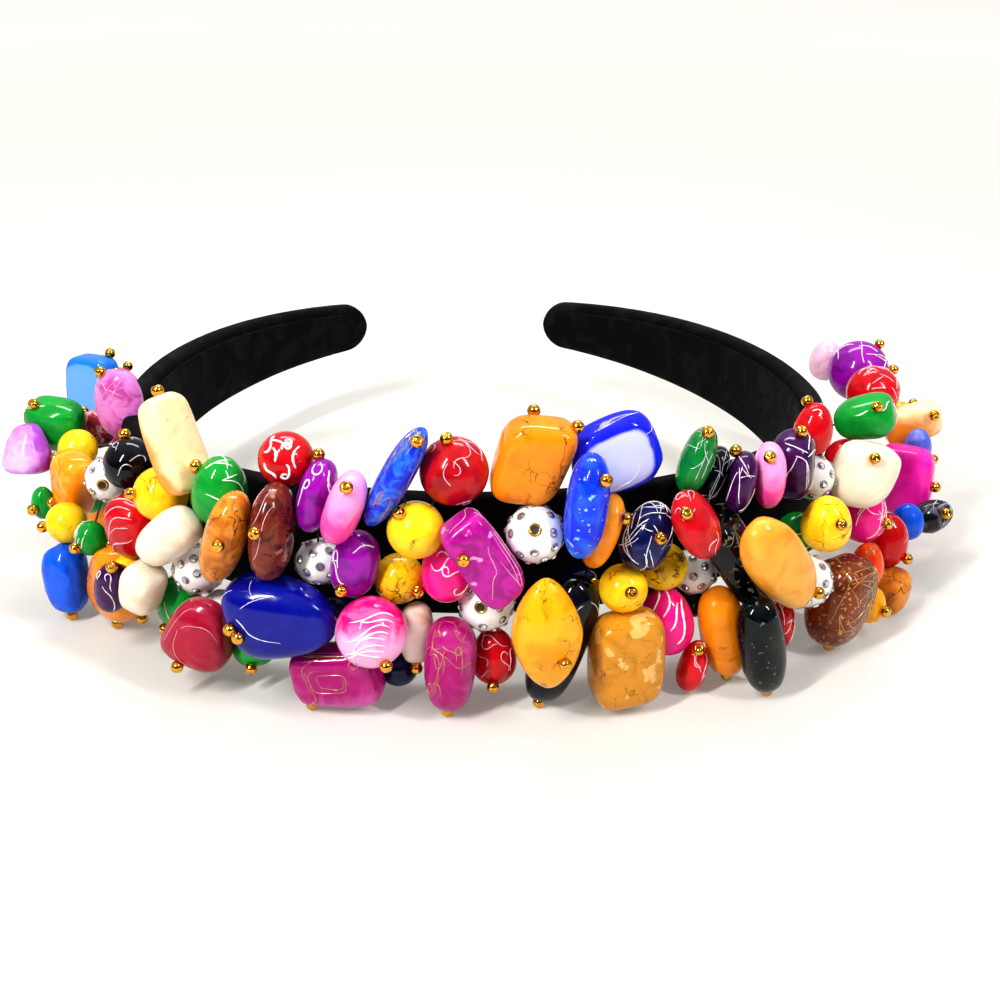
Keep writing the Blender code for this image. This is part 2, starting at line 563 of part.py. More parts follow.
def cord_rings(feet):
    """Square sections of a cord that runs through the feet in turn, level with the face."""
    feet = np.array(feet)
    ends = [2 * feet[0] - feet[1], *feet, 2 * feet[-1] - feet[-2]]
    rings = []
    for before, spot, after in zip(ends, ends[1:], ends[2:]):
        run = (spot - before) / np.linalg.norm(spot - before)
        run = run + (after - spot) / np.linalg.norm(after - spot)
        out = frame_at(nearest_arc(spot))[:, 2]
        side = np.cross(run / np.linalg.norm(run), out)
        side = side / np.linalg.norm(side) * CORD / 2
        out = out * CORD / 2
        rings.append(spot + np.array([side + out, -side + out, -side - out, side - out]))
    rings[0] = rings[0] - (feet[1] - feet[0]) / np.linalg.norm(feet[1] - feet[0]) * CORD
    rings[-1] = rings[-1] + (feet[-1] - feet[-2]) / np.linalg.norm(feet[-1] - feet[-2]) * CORD
    return rings


def nearest_arc(spot):
    """The arc whose outward line passes closest to a point."""
    arcs = np.linspace(-TIP_ARC, TIP_ARC, 2577)
    return arcs[np.linalg.norm(plan_point(arcs) - spot[:2], axis=1).argmin()]


def build_field(name, packing, members, cutters):
    """Beads fused to the cord that runs over the band's face from one to the next."""
    feet = {index: packing.stem_foot(index) for index in members}
    members = sorted(members, key=lambda index: nearest_arc(feet[index]))
    whole = loft(name, cord_rings([feet[index] for index in members]))
    pieces = []
    for index in members:
        bead = packing.beads[index]
        place = packing.place[index]
        rings = FIELD_RINGS if max(bead.size) > SMALL else FIELD_RINGS - 1
        pieces.append(bead_object(f"{name}_{bead.name}", bead, place, FIELD_SIDES, rings))
        pieces.append(tube(f"{name}_stem_{bead.name}", place, feet[index], CORD * 0.9))
    joined(whole, pieces, cutters)
    return whole


def clear_scene():
    for obj in list(bpy.data.objects):
        bpy.data.objects.remove(obj, do_unlink=True)


def build():
    clear_scene()
    scene = bpy.context.scene
    scene.unit_settings.scale_length = 1.0
    whole = bpy.data.collections.new("beaded_headband")
    cutters = bpy.data.collections.new("cutters")
    scene.collection.children.link(whole)
    scene.collection.children.link(cutters)
    cutters.hide_render = True

    arcs = band_arcs()
    band = loft("velvet_band", [band_section(arc, 0.0) for arc in arcs])
    coloured(band, "velvet", 0.9)
    lining = loft("inner_lining", [lining_section(arc) for arc in lining_arcs()])
    coloured(lining, "lining", 0.8)
    nodes = [band, lining]

    packing = Packing(BEADS)
    packing.settle()
    left = [i for i, b in enumerate(BEADS) if not packing.own[i] and b.arc < 0]
    right = [i for i, b in enumerate(BEADS) if not packing.own[i] and b.arc >= 0]
    for name, members, colour in (
        ("bead_field_left", left, "purple"),
        ("bead_field_right", right, "orange"),
    ):
        field = build_field(name, packing, members, cutters)
        coloured(field, colour)
        nodes.append(field)
    for index in np.flatnonzero(packing.own):
        bead = BEADS[index]
        place = packing.place[index]
        made = bead_object(bead.name, bead, place, OWN_SIDES, OWN_RINGS)
        if bead.role == FOOT:
            points = bead_points(bead, OWN_SIDES, OWN_RINGS) + place
            lowest = points[points[:, 2].argmin()]
            centre = np.array([lowest[0], lowest[1], FLOOR + STOPPER / 2])
            seed = Bead("seed", OWN, "ball", "gold", (STOPPER,) * 3, bead.arc, 0, 0)
            stopper = bead_object(bead.name + "_stopper", seed, centre, STOPPER_SIDES, STOPPER_RINGS)
            joined(made, [stopper], cutters)
        coloured(made, bead.colour)
        nodes.append(made)

    for node in nodes:
        whole.objects.link(node)
    for obj in cutters.all_objects:
        obj.hide_render = True
        obj.hide_viewport = False
    set_down(nodes, cutters)
    return nodes, packing


def lining_arcs():
    facets = np.linspace(-TIP_ARC, TIP_ARC, BAND_FACETS + 1)
    end = TIP_ARC - LINING_SHORT
    inner = facets[np.abs(facets) < end - 2.0]
    return np.concatenate([[-end, -end + 1.4], inner, [end - 1.4, end]])


def lining_section(arc):
    """An oblong section of the thin lining, GAP inside the band's inner face."""
    rounded = 0.62 if TIP_ARC - LINING_SHORT - abs(arc) < 0.5 else 1.0
    half_width = (band_width(arc) / 2 - LINING_INSET) * rounded
    outer = -BAND_THICK / 2 - GAP
    inner = outer - LINING_THICK
    spot, normal = plan_point(arc), plan_normal(arc)
    corners = (
        (outer, half_width), (inner, half_width), (inner, -half_width), (outer, -half_width),
    )
    return np.array([[*(spot + normal * out), rise] for out, rise in corners])


def set_down(nodes, cutters):
    """Moves everything so that the middle of its footprint is the origin and it stands on z = 0."""
    bpy.context.view_layer.update()
    graph = bpy.context.evaluated_depsgraph_get()
    low, high = np.full(3, np.inf), np.full(3, -np.inf)
    for node in nodes:
        evaluated = node.evaluated_get(graph)
        data = evaluated.to_mesh()
        points = np.empty(len(data.vertices) * 3)
        data.vertices.foreach_get("co", points)
        points = points.reshape(-1, 3)
        evaluated.to_mesh_clear()
        low = np.minimum(low, points.min(axis=0))
        high = np.maximum(high, points.max(axis=0))
    shift = -np.array([(low[0] + high[0]) / 2, (low[1] + high[1]) / 2, low[2]])
    for obj in [*nodes, *cutters.all_objects]:
        corners = np.empty(len(obj.data.vertices) * 3)
        obj.data.vertices.foreach_get("co", corners)
        obj.data.vertices.foreach_set("co", (corners.reshape(-1, 3) + shift).ravel())
        obj.data.update()


if __name__ == "__main__":
    build()
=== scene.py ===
"""Beaded velvet headband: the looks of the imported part.

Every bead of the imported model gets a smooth, polished bead in its place, with the clouding, veins,
inlays and drizzled lines of its own resin. Gold seed beads close the threads, clear stones cover
the white balls, and padded velvet with a set-in lining covers the band.

Lengths are in millimetres and angles in degrees; meshes are written out in metres. A place on the
band is its arc (0 at the crown, + towards +X), its rise above the band's mid-plane and how far out
it stands off the band's face. A bead's own axes are across, through and along, in that order.
"""

import functools
import logging
import math
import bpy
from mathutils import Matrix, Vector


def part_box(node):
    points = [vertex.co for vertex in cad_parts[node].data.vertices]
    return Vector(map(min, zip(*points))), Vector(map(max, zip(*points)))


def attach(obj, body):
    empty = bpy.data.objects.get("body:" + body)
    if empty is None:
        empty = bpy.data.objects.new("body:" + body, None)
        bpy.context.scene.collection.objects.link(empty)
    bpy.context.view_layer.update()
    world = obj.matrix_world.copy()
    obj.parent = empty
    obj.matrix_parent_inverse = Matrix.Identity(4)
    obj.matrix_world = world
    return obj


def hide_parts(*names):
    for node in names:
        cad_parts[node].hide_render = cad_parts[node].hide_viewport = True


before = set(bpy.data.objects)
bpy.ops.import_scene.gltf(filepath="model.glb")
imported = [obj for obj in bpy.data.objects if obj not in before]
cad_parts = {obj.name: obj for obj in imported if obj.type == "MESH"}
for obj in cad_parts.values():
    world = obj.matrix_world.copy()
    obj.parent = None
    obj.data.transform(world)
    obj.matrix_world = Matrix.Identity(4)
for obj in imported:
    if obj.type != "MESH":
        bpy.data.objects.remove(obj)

import zlib
from dataclasses import dataclass
from enum import Enum
from typing import Any, Callable, Optional, Sequence

import bmesh
import bpy
import numpy as np
from mathutils import Matrix

LOG = logging.getLogger("headband")
MM = 0.001
BODY = "root"
LUMP_PITCHES = (1.5, 2.3, 3.4)
LUMP_WAVES = 3
LUMP_RISE = 0.35
NUDGE = 2e-3
POLISH_SPECULAR = 0.12

Rgb = tuple[float, float, float]
Spot = tuple[float, float]
TreeMaker = Callable[[], bpy.types.NodeTree]


def paint(code: str) -> Rgb:
    """Linear colour from a six-digit sRGB code.

    Args:
        code: red, green and blue in hexadecimal.

    Returns:
        The three linear channels.
    """
    shares = [int(code[at : at + 2], 16) / 255 for at in (0, 2, 4)]
    return tuple(s / 12.92 if s <= 0.04045 else ((s + 0.055) / 1.055) ** 2.4 for s in shares)


class Form(Enum):
    """How a sphere becomes a bead: outline, section, taper, skew and how lumpy it is, in mm.

    The last two are the outline and section of the polished bead, whose faces are flatter and
    whose ends are crisper than the solid's.
    """

    BALL = (2.0, 2.0, 0.0, 0.0, 0.04, 2.0, 2.0)
    EGG = (2.1, 2.0, -0.12, 0.0, 0.1, 2.15, 2.0)
    DISC = (2.3, 2.0, 0.0, 0.0, 0.12, 2.35, 2.15)
    SLAB = (3.4, 2.6, 0.0, 0.06, 0.2, 4.2, 3.9)
    LEAN_SLAB = (3.4, 2.6, 0.08, 0.2, 0.2, 4.0, 3.8)
    NUGGET = (2.6, 2.3, 0.1, 0.08, 0.35, 2.75, 2.6)
    KITE = (2.2, 2.3, -0.22, 0.15, 0.3, 2.6, 2.9)
    WEDGE = (2.7, 2.4, -0.32, 0.05, 0.25, 3.0, 2.9)
    DIAMOND = (1.75, 2.2, 0.0, 0.06, 0.2, 1.6, 2.5)
    CAPSULE = (2.9, 2.0, 0.05, 0.0, 0.2, 2.8, 2.15)
    LEAF = (2.1, 2.2, 0.12, 0.1, 0.2, 2.2, 2.6)

    @property
    def solid(self) -> tuple[float, ...]:
        """Outline, section, taper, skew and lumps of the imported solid."""
        return self.value[:5]

    @property
    def shown(self) -> tuple[float, ...]:
        """The same for the polished bead."""
        return (*self.value[5:], *self.value[2:5])


class Home(Enum):
    """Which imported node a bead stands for."""

    OWN = "own"
    FOOT = "foot"
    LEFT = "bead_field_left"
    RIGHT = "bead_field_right"
    EXTRA = "extra"


class Stroke(Enum):
    """How drizzled lines run: step bend, bend change, and whether they lie side by side."""

    WEB = (0.5, 0.8, False)
    SCRIBBLE = (2.2, 5.0, False)
    STRIPE = (0.5, 1.6, True)


class Paint(Enum):
    """Colours of drizzled lines, as sRGB codes."""

    WHITE = "f6f1ee"
    PINK = "f4b7c6"
    SILVER = "c9cdd2"
    GOLD = "d8ab62"


@dataclass(frozen=True)
class Drizzle:
    """Thin lines of lacquer laid over a bead: width in mm, and run and spread in degrees."""

    stroke: Stroke
    paint: Paint
    count: int
    width: float = 0.32
    reach: float = 70.0
    spread: float = 60.0


@dataclass(frozen=True)
class Resin:
    """A polished resin. Colours are sRGB codes, sizes are in mm and shares from 0 to 1."""

    base: str
    shade: str
    cloud: float = 0.6
    cloud_size: float = 5.0
    fade: tuple[float, float, float] = (0.0, 0.0, 0.0)
    fade_from: float = 0.0
    vein: Optional[str] = None
    vein_gap: float = 5.0
    vein_width: float = 0.035
    vein_share: float = 0.5
    blot: Optional[str] = None
    blot_size: float = 4.0
    blot_share: float = 0.35
    # painted reflection: a paler colour laid over the bead's broad face, standing in for the lights
    # mirrored in it
    face: Optional[str] = None
    face_reach: float = 0.8
    rough: float = 0.16
    milk: float = 0.0
    coat: float = 0.42
    coat_rough: float = 0.03

    def dress(self, name: str) -> bpy.types.Material:
        """Builds the material for one bead.

        Args:
            name: the bead's name.

        Returns:
            The material, whose patterns follow the bead's own axes.
        """
        material, nodes, shader = new_material(name)
        place = nodes.add("ShaderNodeAttribute", attribute_name="bead_place").outputs["Vector"]
        body = nodes.group(
            ShaderGroups.cloudy_resin(), Place=place, Base=paint(self.base),
            Shade=paint(self.shade), Fade=self.fade,
            **{"Cloud Size": self.cloud_size, "Cloud Share": self.cloud,
               "Fade From": self.fade_from},
        )
        colour = body.outputs["Colour"]
        # painted reflection of the lights over the broad face
        if self.face:
            share = nodes.add("ShaderNodeAttribute", attribute_name="bead_share").outputs["Vector"]
            face = nodes.group(ShaderGroups.painted_face_reflection(), Share=share, Reach=self.face_reach)
            colour = nodes.mix(face.outputs["Mask"], colour, paint(self.face))
        if self.blot:
            blots = nodes.group(
                ShaderGroups.inlaid_blots(), Place=place, Size=self.blot_size, Share=self.blot_share
            )
            colour = nodes.mix(blots.outputs["Mask"], colour, paint(self.blot))
        if self.vein:
            veins = nodes.group(
                ShaderGroups.hairline_veins(), Place=place, Gap=self.vein_gap,
                Width=self.vein_width, Share=self.vein_share,
            )
            colour = nodes.mix(veins.outputs["Mask"], colour, paint(self.vein))
        polish = nodes.group(ShaderGroups.hand_polish(), Place=place, Rough=self.rough)
        nodes.feed(shader.inputs["Base Color"], colour)
        nodes.feed(shader.inputs["Roughness"], polish.outputs["Roughness"])
        nodes.feed(shader.inputs["Normal"], polish.outputs["Normal"])
        shader.inputs["Specular IOR Level"].default_value = POLISH_SPECULAR
        shader.inputs["Coat Weight"].default_value = self.coat
        shader.inputs["Coat Roughness"].default_value = self.coat_rough
        if self.milk:
            shader.inputs["Subsurface Weight"].default_value = self.milk
            shader.inputs["Subsurface Radius"].default_value = (1.0, 0.6, 0.4)
            shader.inputs["Subsurface Scale"].default_value = 1.6 * MM
        return material


class Nodes:
    """Short ways to add and wire nodes in one tree, of shaders or of geometry."""

    def __init__(self, tree: bpy.types.NodeTree) -> None:
        """Keeps the tree."""
        self.tree = tree

    def feed(self, socket: bpy.types.NodeSocket, value: Any) -> None:
        """Links a socket's source, or sets its value.

        Args:
            socket: the input to feed.
            value: an output socket, a colour, a vector or a number.
        """
        if isinstance(value, bpy.types.NodeSocket):
            self.tree.links.new(value, socket)
        elif socket.type == "RGBA" and len(value) == 3:
            socket.default_value = (*value, 1.0)
        else:
            socket.default_value = value

    def add(self, kind: str, feeds: Optional[dict] = None, **settings: Any) -> bpy.types.Node:
        """Adds a node.

        Args:
            kind: Blender's name for the node type.
            feeds: input name or index to value or source.
            **settings: properties of the node.

        Returns:
            The node.
        """
        node = self.tree.nodes.new(kind)
        for key, value in settings.items():
            setattr(node, key, value)
        for key, value in (feeds or {}).items():
            self.feed(node.inputs[key], value)
        return node

    def group(self, tree: bpy.types.NodeTree, **feeds: Any) -> bpy.types.Node:
        """Places a node group with its own values.

        Args:
            tree: the group.
            **feeds: input name to value or source.

        Returns:
            The group's node.
        """
        node = self.tree.nodes.new("ShaderNodeGroup")
        node.node_tree = tree
        for key, value in feeds.items():
            self.feed(node.inputs[key], value)
        return node

    def maths(self, operation: str, *values: Any) -> bpy.types.NodeSocket:
        """Adds a Math node and returns its output."""
        return self.add("ShaderNodeMath", dict(enumerate(values)), operation=operation).outputs[0]

    def vector(self, operation: str, *values: Any) -> bpy.types.NodeSocket:
        """Adds a Vector Math node.

        Args:
            operation: Blender's name for what it does.
            *values: a value or source for each input in turn.

        Returns:
            Its vector or, for a dot product or a length, its value.
        """
        node = self.add("ShaderNodeVectorMath", operation=operation)
        for index, value in enumerate(values):
            self.feed(node.inputs["Scale" if operation == "SCALE" and index else index], value)
        return node.outputs["Value" if operation in ("DOT_PRODUCT", "LENGTH") else "Vector"]

    def over(self, place: Any, size: Any, unit: float = 1.0) -> bpy.types.NodeSocket:
        """Scales a place so that a pattern has a given size.

        Args:
            place: the place.
            size: the size, in mm.
            unit: how many mm the place's own unit has.

        Returns:
            The scaled place.
        """
        return self.vector("SCALE", place, self.maths("DIVIDE", unit, size))

    def mix(self, share: Any, first: Any, second: Any) -> bpy.types.NodeSocket:
        """Mixes two colours.

        Args:
            share: how much of the second there is, from 0 to 1.
            first: the colour at 0.
            second: the colour at 1.

        Returns:
            The mixed colour.
        """
        node = self.add("ShaderNodeMix", data_type="RGBA")
        for index, value in ((0, share), (6, first), (7, second)):
            self.feed(node.inputs[index], value)
        return node.outputs[2]

    def ramp(self, value: Any, low: Any, high: Any) -> bpy.types.NodeSocket:
        """Adds a smooth rise from 0 to 1.

        Args:
            value: what rises.
            low: where it gives 0.
            high: where it gives 1.

        Returns:
            The risen value.
        """
        feeds = {"Value": value, "From Min": low, "From Max": high}
        node = self.add("ShaderNodeMapRange", feeds, interpolation_type="SMOOTHSTEP")
        return node.outputs["Result"]

    def noise(self, place: Any, scale: float, detail: float = 2.0) -> bpy.types.NodeSocket:
        """Adds a noise texture.

        Args:
            place: where it is read.
            scale: its scale.
            detail: its octaves.

        Returns:
            A value from 0 to 1.
        """
        feeds = {"Vector": place, "Scale": scale, "Detail": detail}
        return self.add("ShaderNodeTexNoise", feeds).outputs[0]


def new_material(name: str) -> tuple[bpy.types.Material, Nodes, bpy.types.Node]:
    """Starts a material.

    Args:
        name: its name.

    Returns:
        The material, its nodes and its Principled shader.
    """
    material = bpy.data.materials.new(name)
    material.use_nodes = True
    return material, Nodes(material.node_tree), material.node_tree.nodes["Principled BSDF"]


def new_group(
    name: str, inputs: dict[str, Any], outputs: dict[str, str], kind: str = "ShaderNodeTree"
) -> tuple[bpy.types.NodeTree, Nodes, Any, Any]:
    """Starts a node group with named sockets.

    Args:
        name: the group's name.
        inputs: socket name to a default value, or to a socket type where it has none.
        outputs: socket name to socket type.
        kind: the tree's type.

    Returns:
        The tree, its nodes, the sockets that its inputs come out of, and those that take outputs.
    """
    tree = bpy.data.node_groups.new(name, kind)
    for label, value in inputs.items():
        if isinstance(value, str):
            tree.interface.new_socket(label, in_out="INPUT", socket_type="NodeSocket" + value)
            continue
        if isinstance(value, int):
            style = "NodeSocketInt"
        elif isinstance(value, float):
            style = "NodeSocketFloat"
        else:
            style = "NodeSocketColor" if len(value) == 4 else "NodeSocketVector"
        made = tree.interface.new_socket(label, in_out="INPUT", socket_type=style)
        made.default_value = value
    for label, style in outputs.items():
        tree.interface.new_socket(label, in_out="OUTPUT", socket_type="NodeSocket" + style)
    nodes = Nodes(tree)
    return tree, nodes, nodes.add("NodeGroupInput").outputs, nodes.add("NodeGroupOutput").inputs


def built_once(maker: TreeMaker) -> TreeMaker:
    """Lets a maker build its tree at the first call only.

    Args:
        maker: the function that builds the tree, which has the function's own name.

    Returns:
        A function that gives the tree that is there, or else builds it.
    """

    @functools.wraps(maker)
    def made() -> bpy.types.NodeTree:
        """Finds the tree by its name or builds it."""
        return bpy.data.node_groups.get(maker.__name__) or maker()

    return made


class ShaderGroups:
    """Effects that many materials share."""

    @staticmethod
    @built_once
    def cloudy_resin() -> bpy.types.NodeTree:
        """Two resins stirred together, one taking over towards one side.

        Returns:
            The group, which puts out a Colour.
        """
        tree, nodes, given, out = new_group(
            "cloudy_resin",
            {"Place": (0.0, 0.0, 0.0), "Base": (1.0, 1.0, 1.0, 1.0), "Shade": (0.0, 0.0, 0.0, 1.0),
             "Cloud Size": 5.0, "Cloud Share": 0.5, "Fade": (0.0, 0.0, 0.0), "Fade From": 0.0},
            {"Colour": "Color"},
        )
        scaled = nodes.over(given["Place"], given["Cloud Size"])
        wisps = nodes.add(
            "ShaderNodeTexNoise", {"Vector": scaled, "Scale": 1.0, "Detail": 4.0, "Distortion": 1.4}
        ).outputs[0]
        cloud = nodes.maths("MULTIPLY", nodes.ramp(wisps, 0.42, 0.68), given["Cloud Share"])
        lean = nodes.vector("DOT_PRODUCT", given["Place"], given["Fade"])
        lean = nodes.maths("SUBTRACT", lean, given["Fade From"])
        stir = nodes.maths("MULTIPLY", nodes.maths("SUBTRACT", wisps, 0.5), 1.5)
        lean = nodes.maths("ADD", lean, stir)
        reach = nodes.vector("LENGTH", given["Fade"])
        side = nodes.maths("MULTIPLY", nodes.ramp(lean, 0.0, 1.0), nodes.ramp(reach, 0.0, 0.01))
        share = nodes.maths("MAXIMUM", cloud, side)
        nodes.feed(out["Colour"], nodes.mix(share, given["Base"], given["Shade"]))
        return tree

    @staticmethod
    @built_once
    def hairline_veins() -> bpy.types.NodeTree:
        """Broken hairline veins.

        Returns:
            The group, which puts out a Mask.
        """
        tree, nodes, given, out = new_group(
            "hairline_veins", {"Place": (0.0, 0.0, 0.0), "Gap": 5.0, "Width": 0.035, "Share": 0.5},
            {"Mask": "Float"},
        )
        scaled = nodes.over(given["Place"], given["Gap"])
        stir = nodes.add("ShaderNodeTexNoise", {"Vector": scaled, "Scale": 2.6, "Detail": 5.0})
        stirred = nodes.vector("ADD", scaled, nodes.vector("SCALE", stir.outputs["Color"], 0.8))
        cells = nodes.add(
            "ShaderNodeTexVoronoi", {"Vector": stirred, "Scale": 1.0}, feature="DISTANCE_TO_EDGE"
        ).outputs["Distance"]
        line = nodes.maths("SUBTRACT", 1.0, nodes.ramp(cells, 0.0, given["Width"]))
        where = nodes.noise(scaled, 1.3, 3.0)
        edge = nodes.maths("SUBTRACT", 1.0, given["Share"])
        low = nodes.maths("MULTIPLY_ADD", edge, 0.4, 0.25)
        there = nodes.ramp(where, low, nodes.maths("MULTIPLY_ADD", edge, 0.4, 0.38))
        nodes.feed(out["Mask"], nodes.maths("MULTIPLY", line, there))
        return tree

    @staticmethod
    @built_once
    def inlaid_blots() -> bpy.types.NodeTree:
        """Soft-edged inlays of another colour.

        Returns:
            The group, which puts out a Mask.
        """
        tree, nodes, given, out = new_group(
            "inlaid_blots", {"Place": (0.0, 0.0, 0.0), "Size": 4.0, "Share": 0.35},
            {"Mask": "Float"},
        )
        scaled = nodes.over(given["Place"], given["Size"])
        spots = nodes.add(
            "ShaderNodeTexNoise", {"Vector": scaled, "Scale": 1.7, "Detail": 2.0, "Distortion": 0.2}
        ).outputs[0]
        edge = nodes.maths("MULTIPLY_ADD", given["Share"], -0.35, 0.68)
        nodes.feed(out["Mask"], nodes.ramp(spots, edge, nodes.maths("ADD", edge, 0.04)))
        return tree

    @staticmethod
    @built_once
    def painted_face_reflection() -> bpy.types.NodeTree:
        """Where the painted reflection lies: the broad face of a slab, inside its rounded rim.

        Returns:
            The group, which puts out a Mask.
        """
        tree, nodes, given, out = new_group(
            "painted_face_reflection", {"Share": (0.0, 0.0, 0.0), "Reach": 0.8}, {"Mask": "Float"}
        )
        split = nodes.add("ShaderNodeSeparateXYZ", {0: given["Share"]}).outputs
        wide, tall = (
            nodes.maths("POWER", nodes.maths("ABSOLUTE", split[axis]), 3.5) for axis in ("X", "Y")
        )
        reach = nodes.maths("POWER", nodes.maths("ADD", wide, tall), 1 / 3.5)
        wander = nodes.maths("MULTIPLY_ADD", nodes.noise(given["Share"], 2.0), 0.16, -0.08)
        reach = nodes.maths("ADD", reach, wander)
        rim = nodes.maths("ADD", given["Reach"], 0.05)
        inside = nodes.ramp(reach, rim, nodes.maths("SUBTRACT", given["Reach"], 0.05))
        # painted reflection only on the broad face on the bead's +through side
        nodes.feed(out["Mask"], nodes.maths("MULTIPLY", inside, nodes.ramp(split["Z"], 0.1, 0.4)))
        return tree

    @staticmethod
    @built_once
    def hand_polish() -> bpy.types.NodeTree:
        """Hand-polished lacquer: faint waviness, and smudges that dull the gloss.

        Returns:
            The group, which puts out a Roughness and a Normal.
        """
        tree, nodes, given, out = new_group(
            "hand_polish", {"Place": (0.0, 0.0, 0.0), "Rough": 0.09},
            {"Roughness": "Float", "Normal": "Vector"},
        )
        smudge = nodes.ramp(nodes.noise(given["Place"], 0.45, 5.0), 0.4, 0.75)
        nodes.feed(out["Roughness"], nodes.maths("MULTIPLY_ADD", smudge, 0.11, given["Rough"]))
        wave = nodes.noise(given["Place"], 0.32, 1.0)
        bump = nodes.add("ShaderNodeBump", {"Strength": 0.22, "Distance": 0.5 * MM, "Height": wave})
        nodes.feed(out["Normal"], bump.outputs["Normal"])
        return tree

    @staticmethod
    @built_once
    def velvet_nap() -> bpy.types.NodeTree:
        """Velvet nap that lies this way and that.

        Returns:
            The group, which puts out a Colour, a Roughness and a Normal.
        """
        tree, nodes, given, out = new_group(
            "velvet_nap",
            {"Place": (0.0, 0.0, 0.0), "Dark": (0.0, 0.0, 0.0, 1.0), "Light": (0.1, 0.1, 0.1, 1.0),
             "Crush": 9.0},
            {"Colour": "Color", "Roughness": "Float", "Normal": "Vector"},
        )
        scaled = nodes.over(given["Place"], given["Crush"], 1.0 / MM)
        crush = nodes.add(
            "ShaderNodeTexNoise", {"Vector": scaled, "Scale": 1.0, "Detail": 4.0, "Distortion": 1.0}
        ).outputs[0]
        fibres = nodes.noise(nodes.vector("SCALE", given["Place"], 1.0 / MM), 4.5, 3.0)
        share = nodes.maths(
            "ADD", nodes.maths("MULTIPLY", nodes.ramp(crush, 0.42, 0.72), 0.75),
            nodes.maths("MULTIPLY", fibres, 0.25),
        )
        nodes.feed(out["Colour"], nodes.mix(share, given["Dark"], given["Light"]))
        nodes.feed(out["Roughness"], nodes.maths("MULTIPLY_ADD", share, -0.2, 0.9))
        height = nodes.maths("MULTIPLY_ADD", fibres, 0.35, nodes.maths("MULTIPLY", crush, 0.8))
        feeds = {"Strength": 0.5, "Distance": 0.5 * MM, "Height": height}
        bump = nodes.add("ShaderNodeBump", feeds)
        nodes.feed(out["Normal"], bump.outputs["Normal"])
        return tree


@dataclass(frozen=True)
class Velvet:
    """Black velvet, light at grazing angles: its sRGB colours, its sheen and its crush in mm."""

    dark: str
    light: str
    sheen: float
    crush: float

    def dress(self, name: str) -> bpy.types.Material:
        """Builds the cloth's material.

        Args:
            name: the material's name.

        Returns:
            The material.
        """
        material, nodes, shader = new_material(name)
        place = nodes.add("ShaderNodeTexCoord").outputs["Object"]
        nap = nodes.group(
            ShaderGroups.velvet_nap(), Place=place, Dark=paint(self.dark), Light=paint(self.light),
            Crush=self.crush,
        )
        nodes.feed(shader.inputs["Base Color"], nap.outputs["Colour"])
        nodes.feed(shader.inputs["Roughness"], nap.outputs["Roughness"])
        nodes.feed(shader.inputs["Normal"], nap.outputs["Normal"])
        shader.inputs["Specular IOR Level"].default_value = POLISH_SPECULAR
        shader.inputs["Sheen Weight"].default_value = self.sheen
        shader.inputs["Sheen Roughness"].default_value = 0.32
        shader.inputs["Sheen Tint"].default_value = (0.6, 0.6, 0.68, 1.0)
        return material


@dataclass(frozen=True)
class Shiny:
    """A plain metal, lacquer line or stone, with handling marks in its gloss.

    Its colour, an sRGB code, is uneven here and there, or carries painted reflections facet by
    facet.
    """

    colour: str
    rough: float
    metal: float = 0.0
    coat: float = 0.0
    varied: float = 0.0
    uneven: float = 0.2

    def dress(self, name: str) -> bpy.types.Material:
        """Builds the material.

        Args:
            name: its name.

        Returns:
            The material.
        """
        material, nodes, shader = new_material(name)
        place = nodes.vector("SCALE", nodes.add("ShaderNodeTexCoord").outputs["Object"], 1.0 / MM)
        polish = nodes.group(ShaderGroups.hand_polish(), Place=place, Rough=self.rough)
        nodes.feed(shader.inputs["Roughness"], polish.outputs["Roughness"])
        tone = nodes.ramp(nodes.noise(place, 1.3, 2.0), 0.35, 0.65)
        # painted reflection: a random tone for each facet, from dark to light, stands in for the
        # room that a foiled stone mirrors
        if self.varied:
            own = nodes.add("ShaderNodeTexWhiteNoise", {"Vector": self.facet(nodes)})
            tone = own.outputs["Value"]
        light = paint(self.colour)
        dark = tuple(channel * (1.0 - max(self.varied, self.uneven)) for channel in light)
        nodes.feed(shader.inputs["Base Color"], nodes.mix(tone, dark, light))
        shader.inputs["Metallic"].default_value = self.metal
        shader.inputs["Coat Weight"].default_value = self.coat
        return material

    @staticmethod
    def facet(nodes: Nodes) -> bpy.types.NodeSocket:
        """The facet's own number, which Geometry Nodes stored on it."""
        return nodes.add("ShaderNodeAttribute", attribute_name="facet").outputs["Vector"]


# face: painted reflection of the lights on the slab's broad face
SKY = Resin("1f74d8", "0b52b8", 0.35, face="649ee2", face_reach=0.78, milk=0.1)
PINK_CLEAR = Resin("d780c9", "b01c86", 0.75, 4.0, (0.0, -0.12, 0.0), 0.1, milk=0.25)
CRYSTAL = Resin("9c1f30", "e8b9b4", 0.9, 2.5)
GREEN = Resin("0f9433", "066b22", 0.5, 6.0)
LILAC = Resin("a84fcf", "dcb0ee", 0.4, 4.0, (0.0, 0.0, 0.35), 0.6, milk=0.15)
YELLOW = Resin(
    "ffcf20", "f0ae12", 0.6, 4.0, vein="7a4408", vein_gap=7.0, vein_width=0.025,
    vein_share=0.45, milk=0.12,
)
OLD_YELLOW = Resin(
    "ecbe1a", "b98a10", 0.7, 4.0, vein="5d3205", vein_gap=5.0, vein_width=0.05,
    vein_share=0.7, milk=0.1,
)
VERMILION = Resin("f0501a", "c42a0e", 0.6, 4.0)
ORANGE = Resin("f98d10", "ffb83a", 0.6, 5.0, milk=0.12)
BLACK = Resin("040407", "0b0f24", 0.7, 4.0, rough=0.05)
GREY = Resin("14151a", "82868f", 0.6, 3.0)
PEACH = Resin(
    "fddcae", "f0902a", 0.25, 6.0, (-0.08, -0.06, -0.2), -0.12, vein="8a5312",
    vein_gap=8.0, vein_width=0.012, vein_share=0.2, milk=0.2,
)
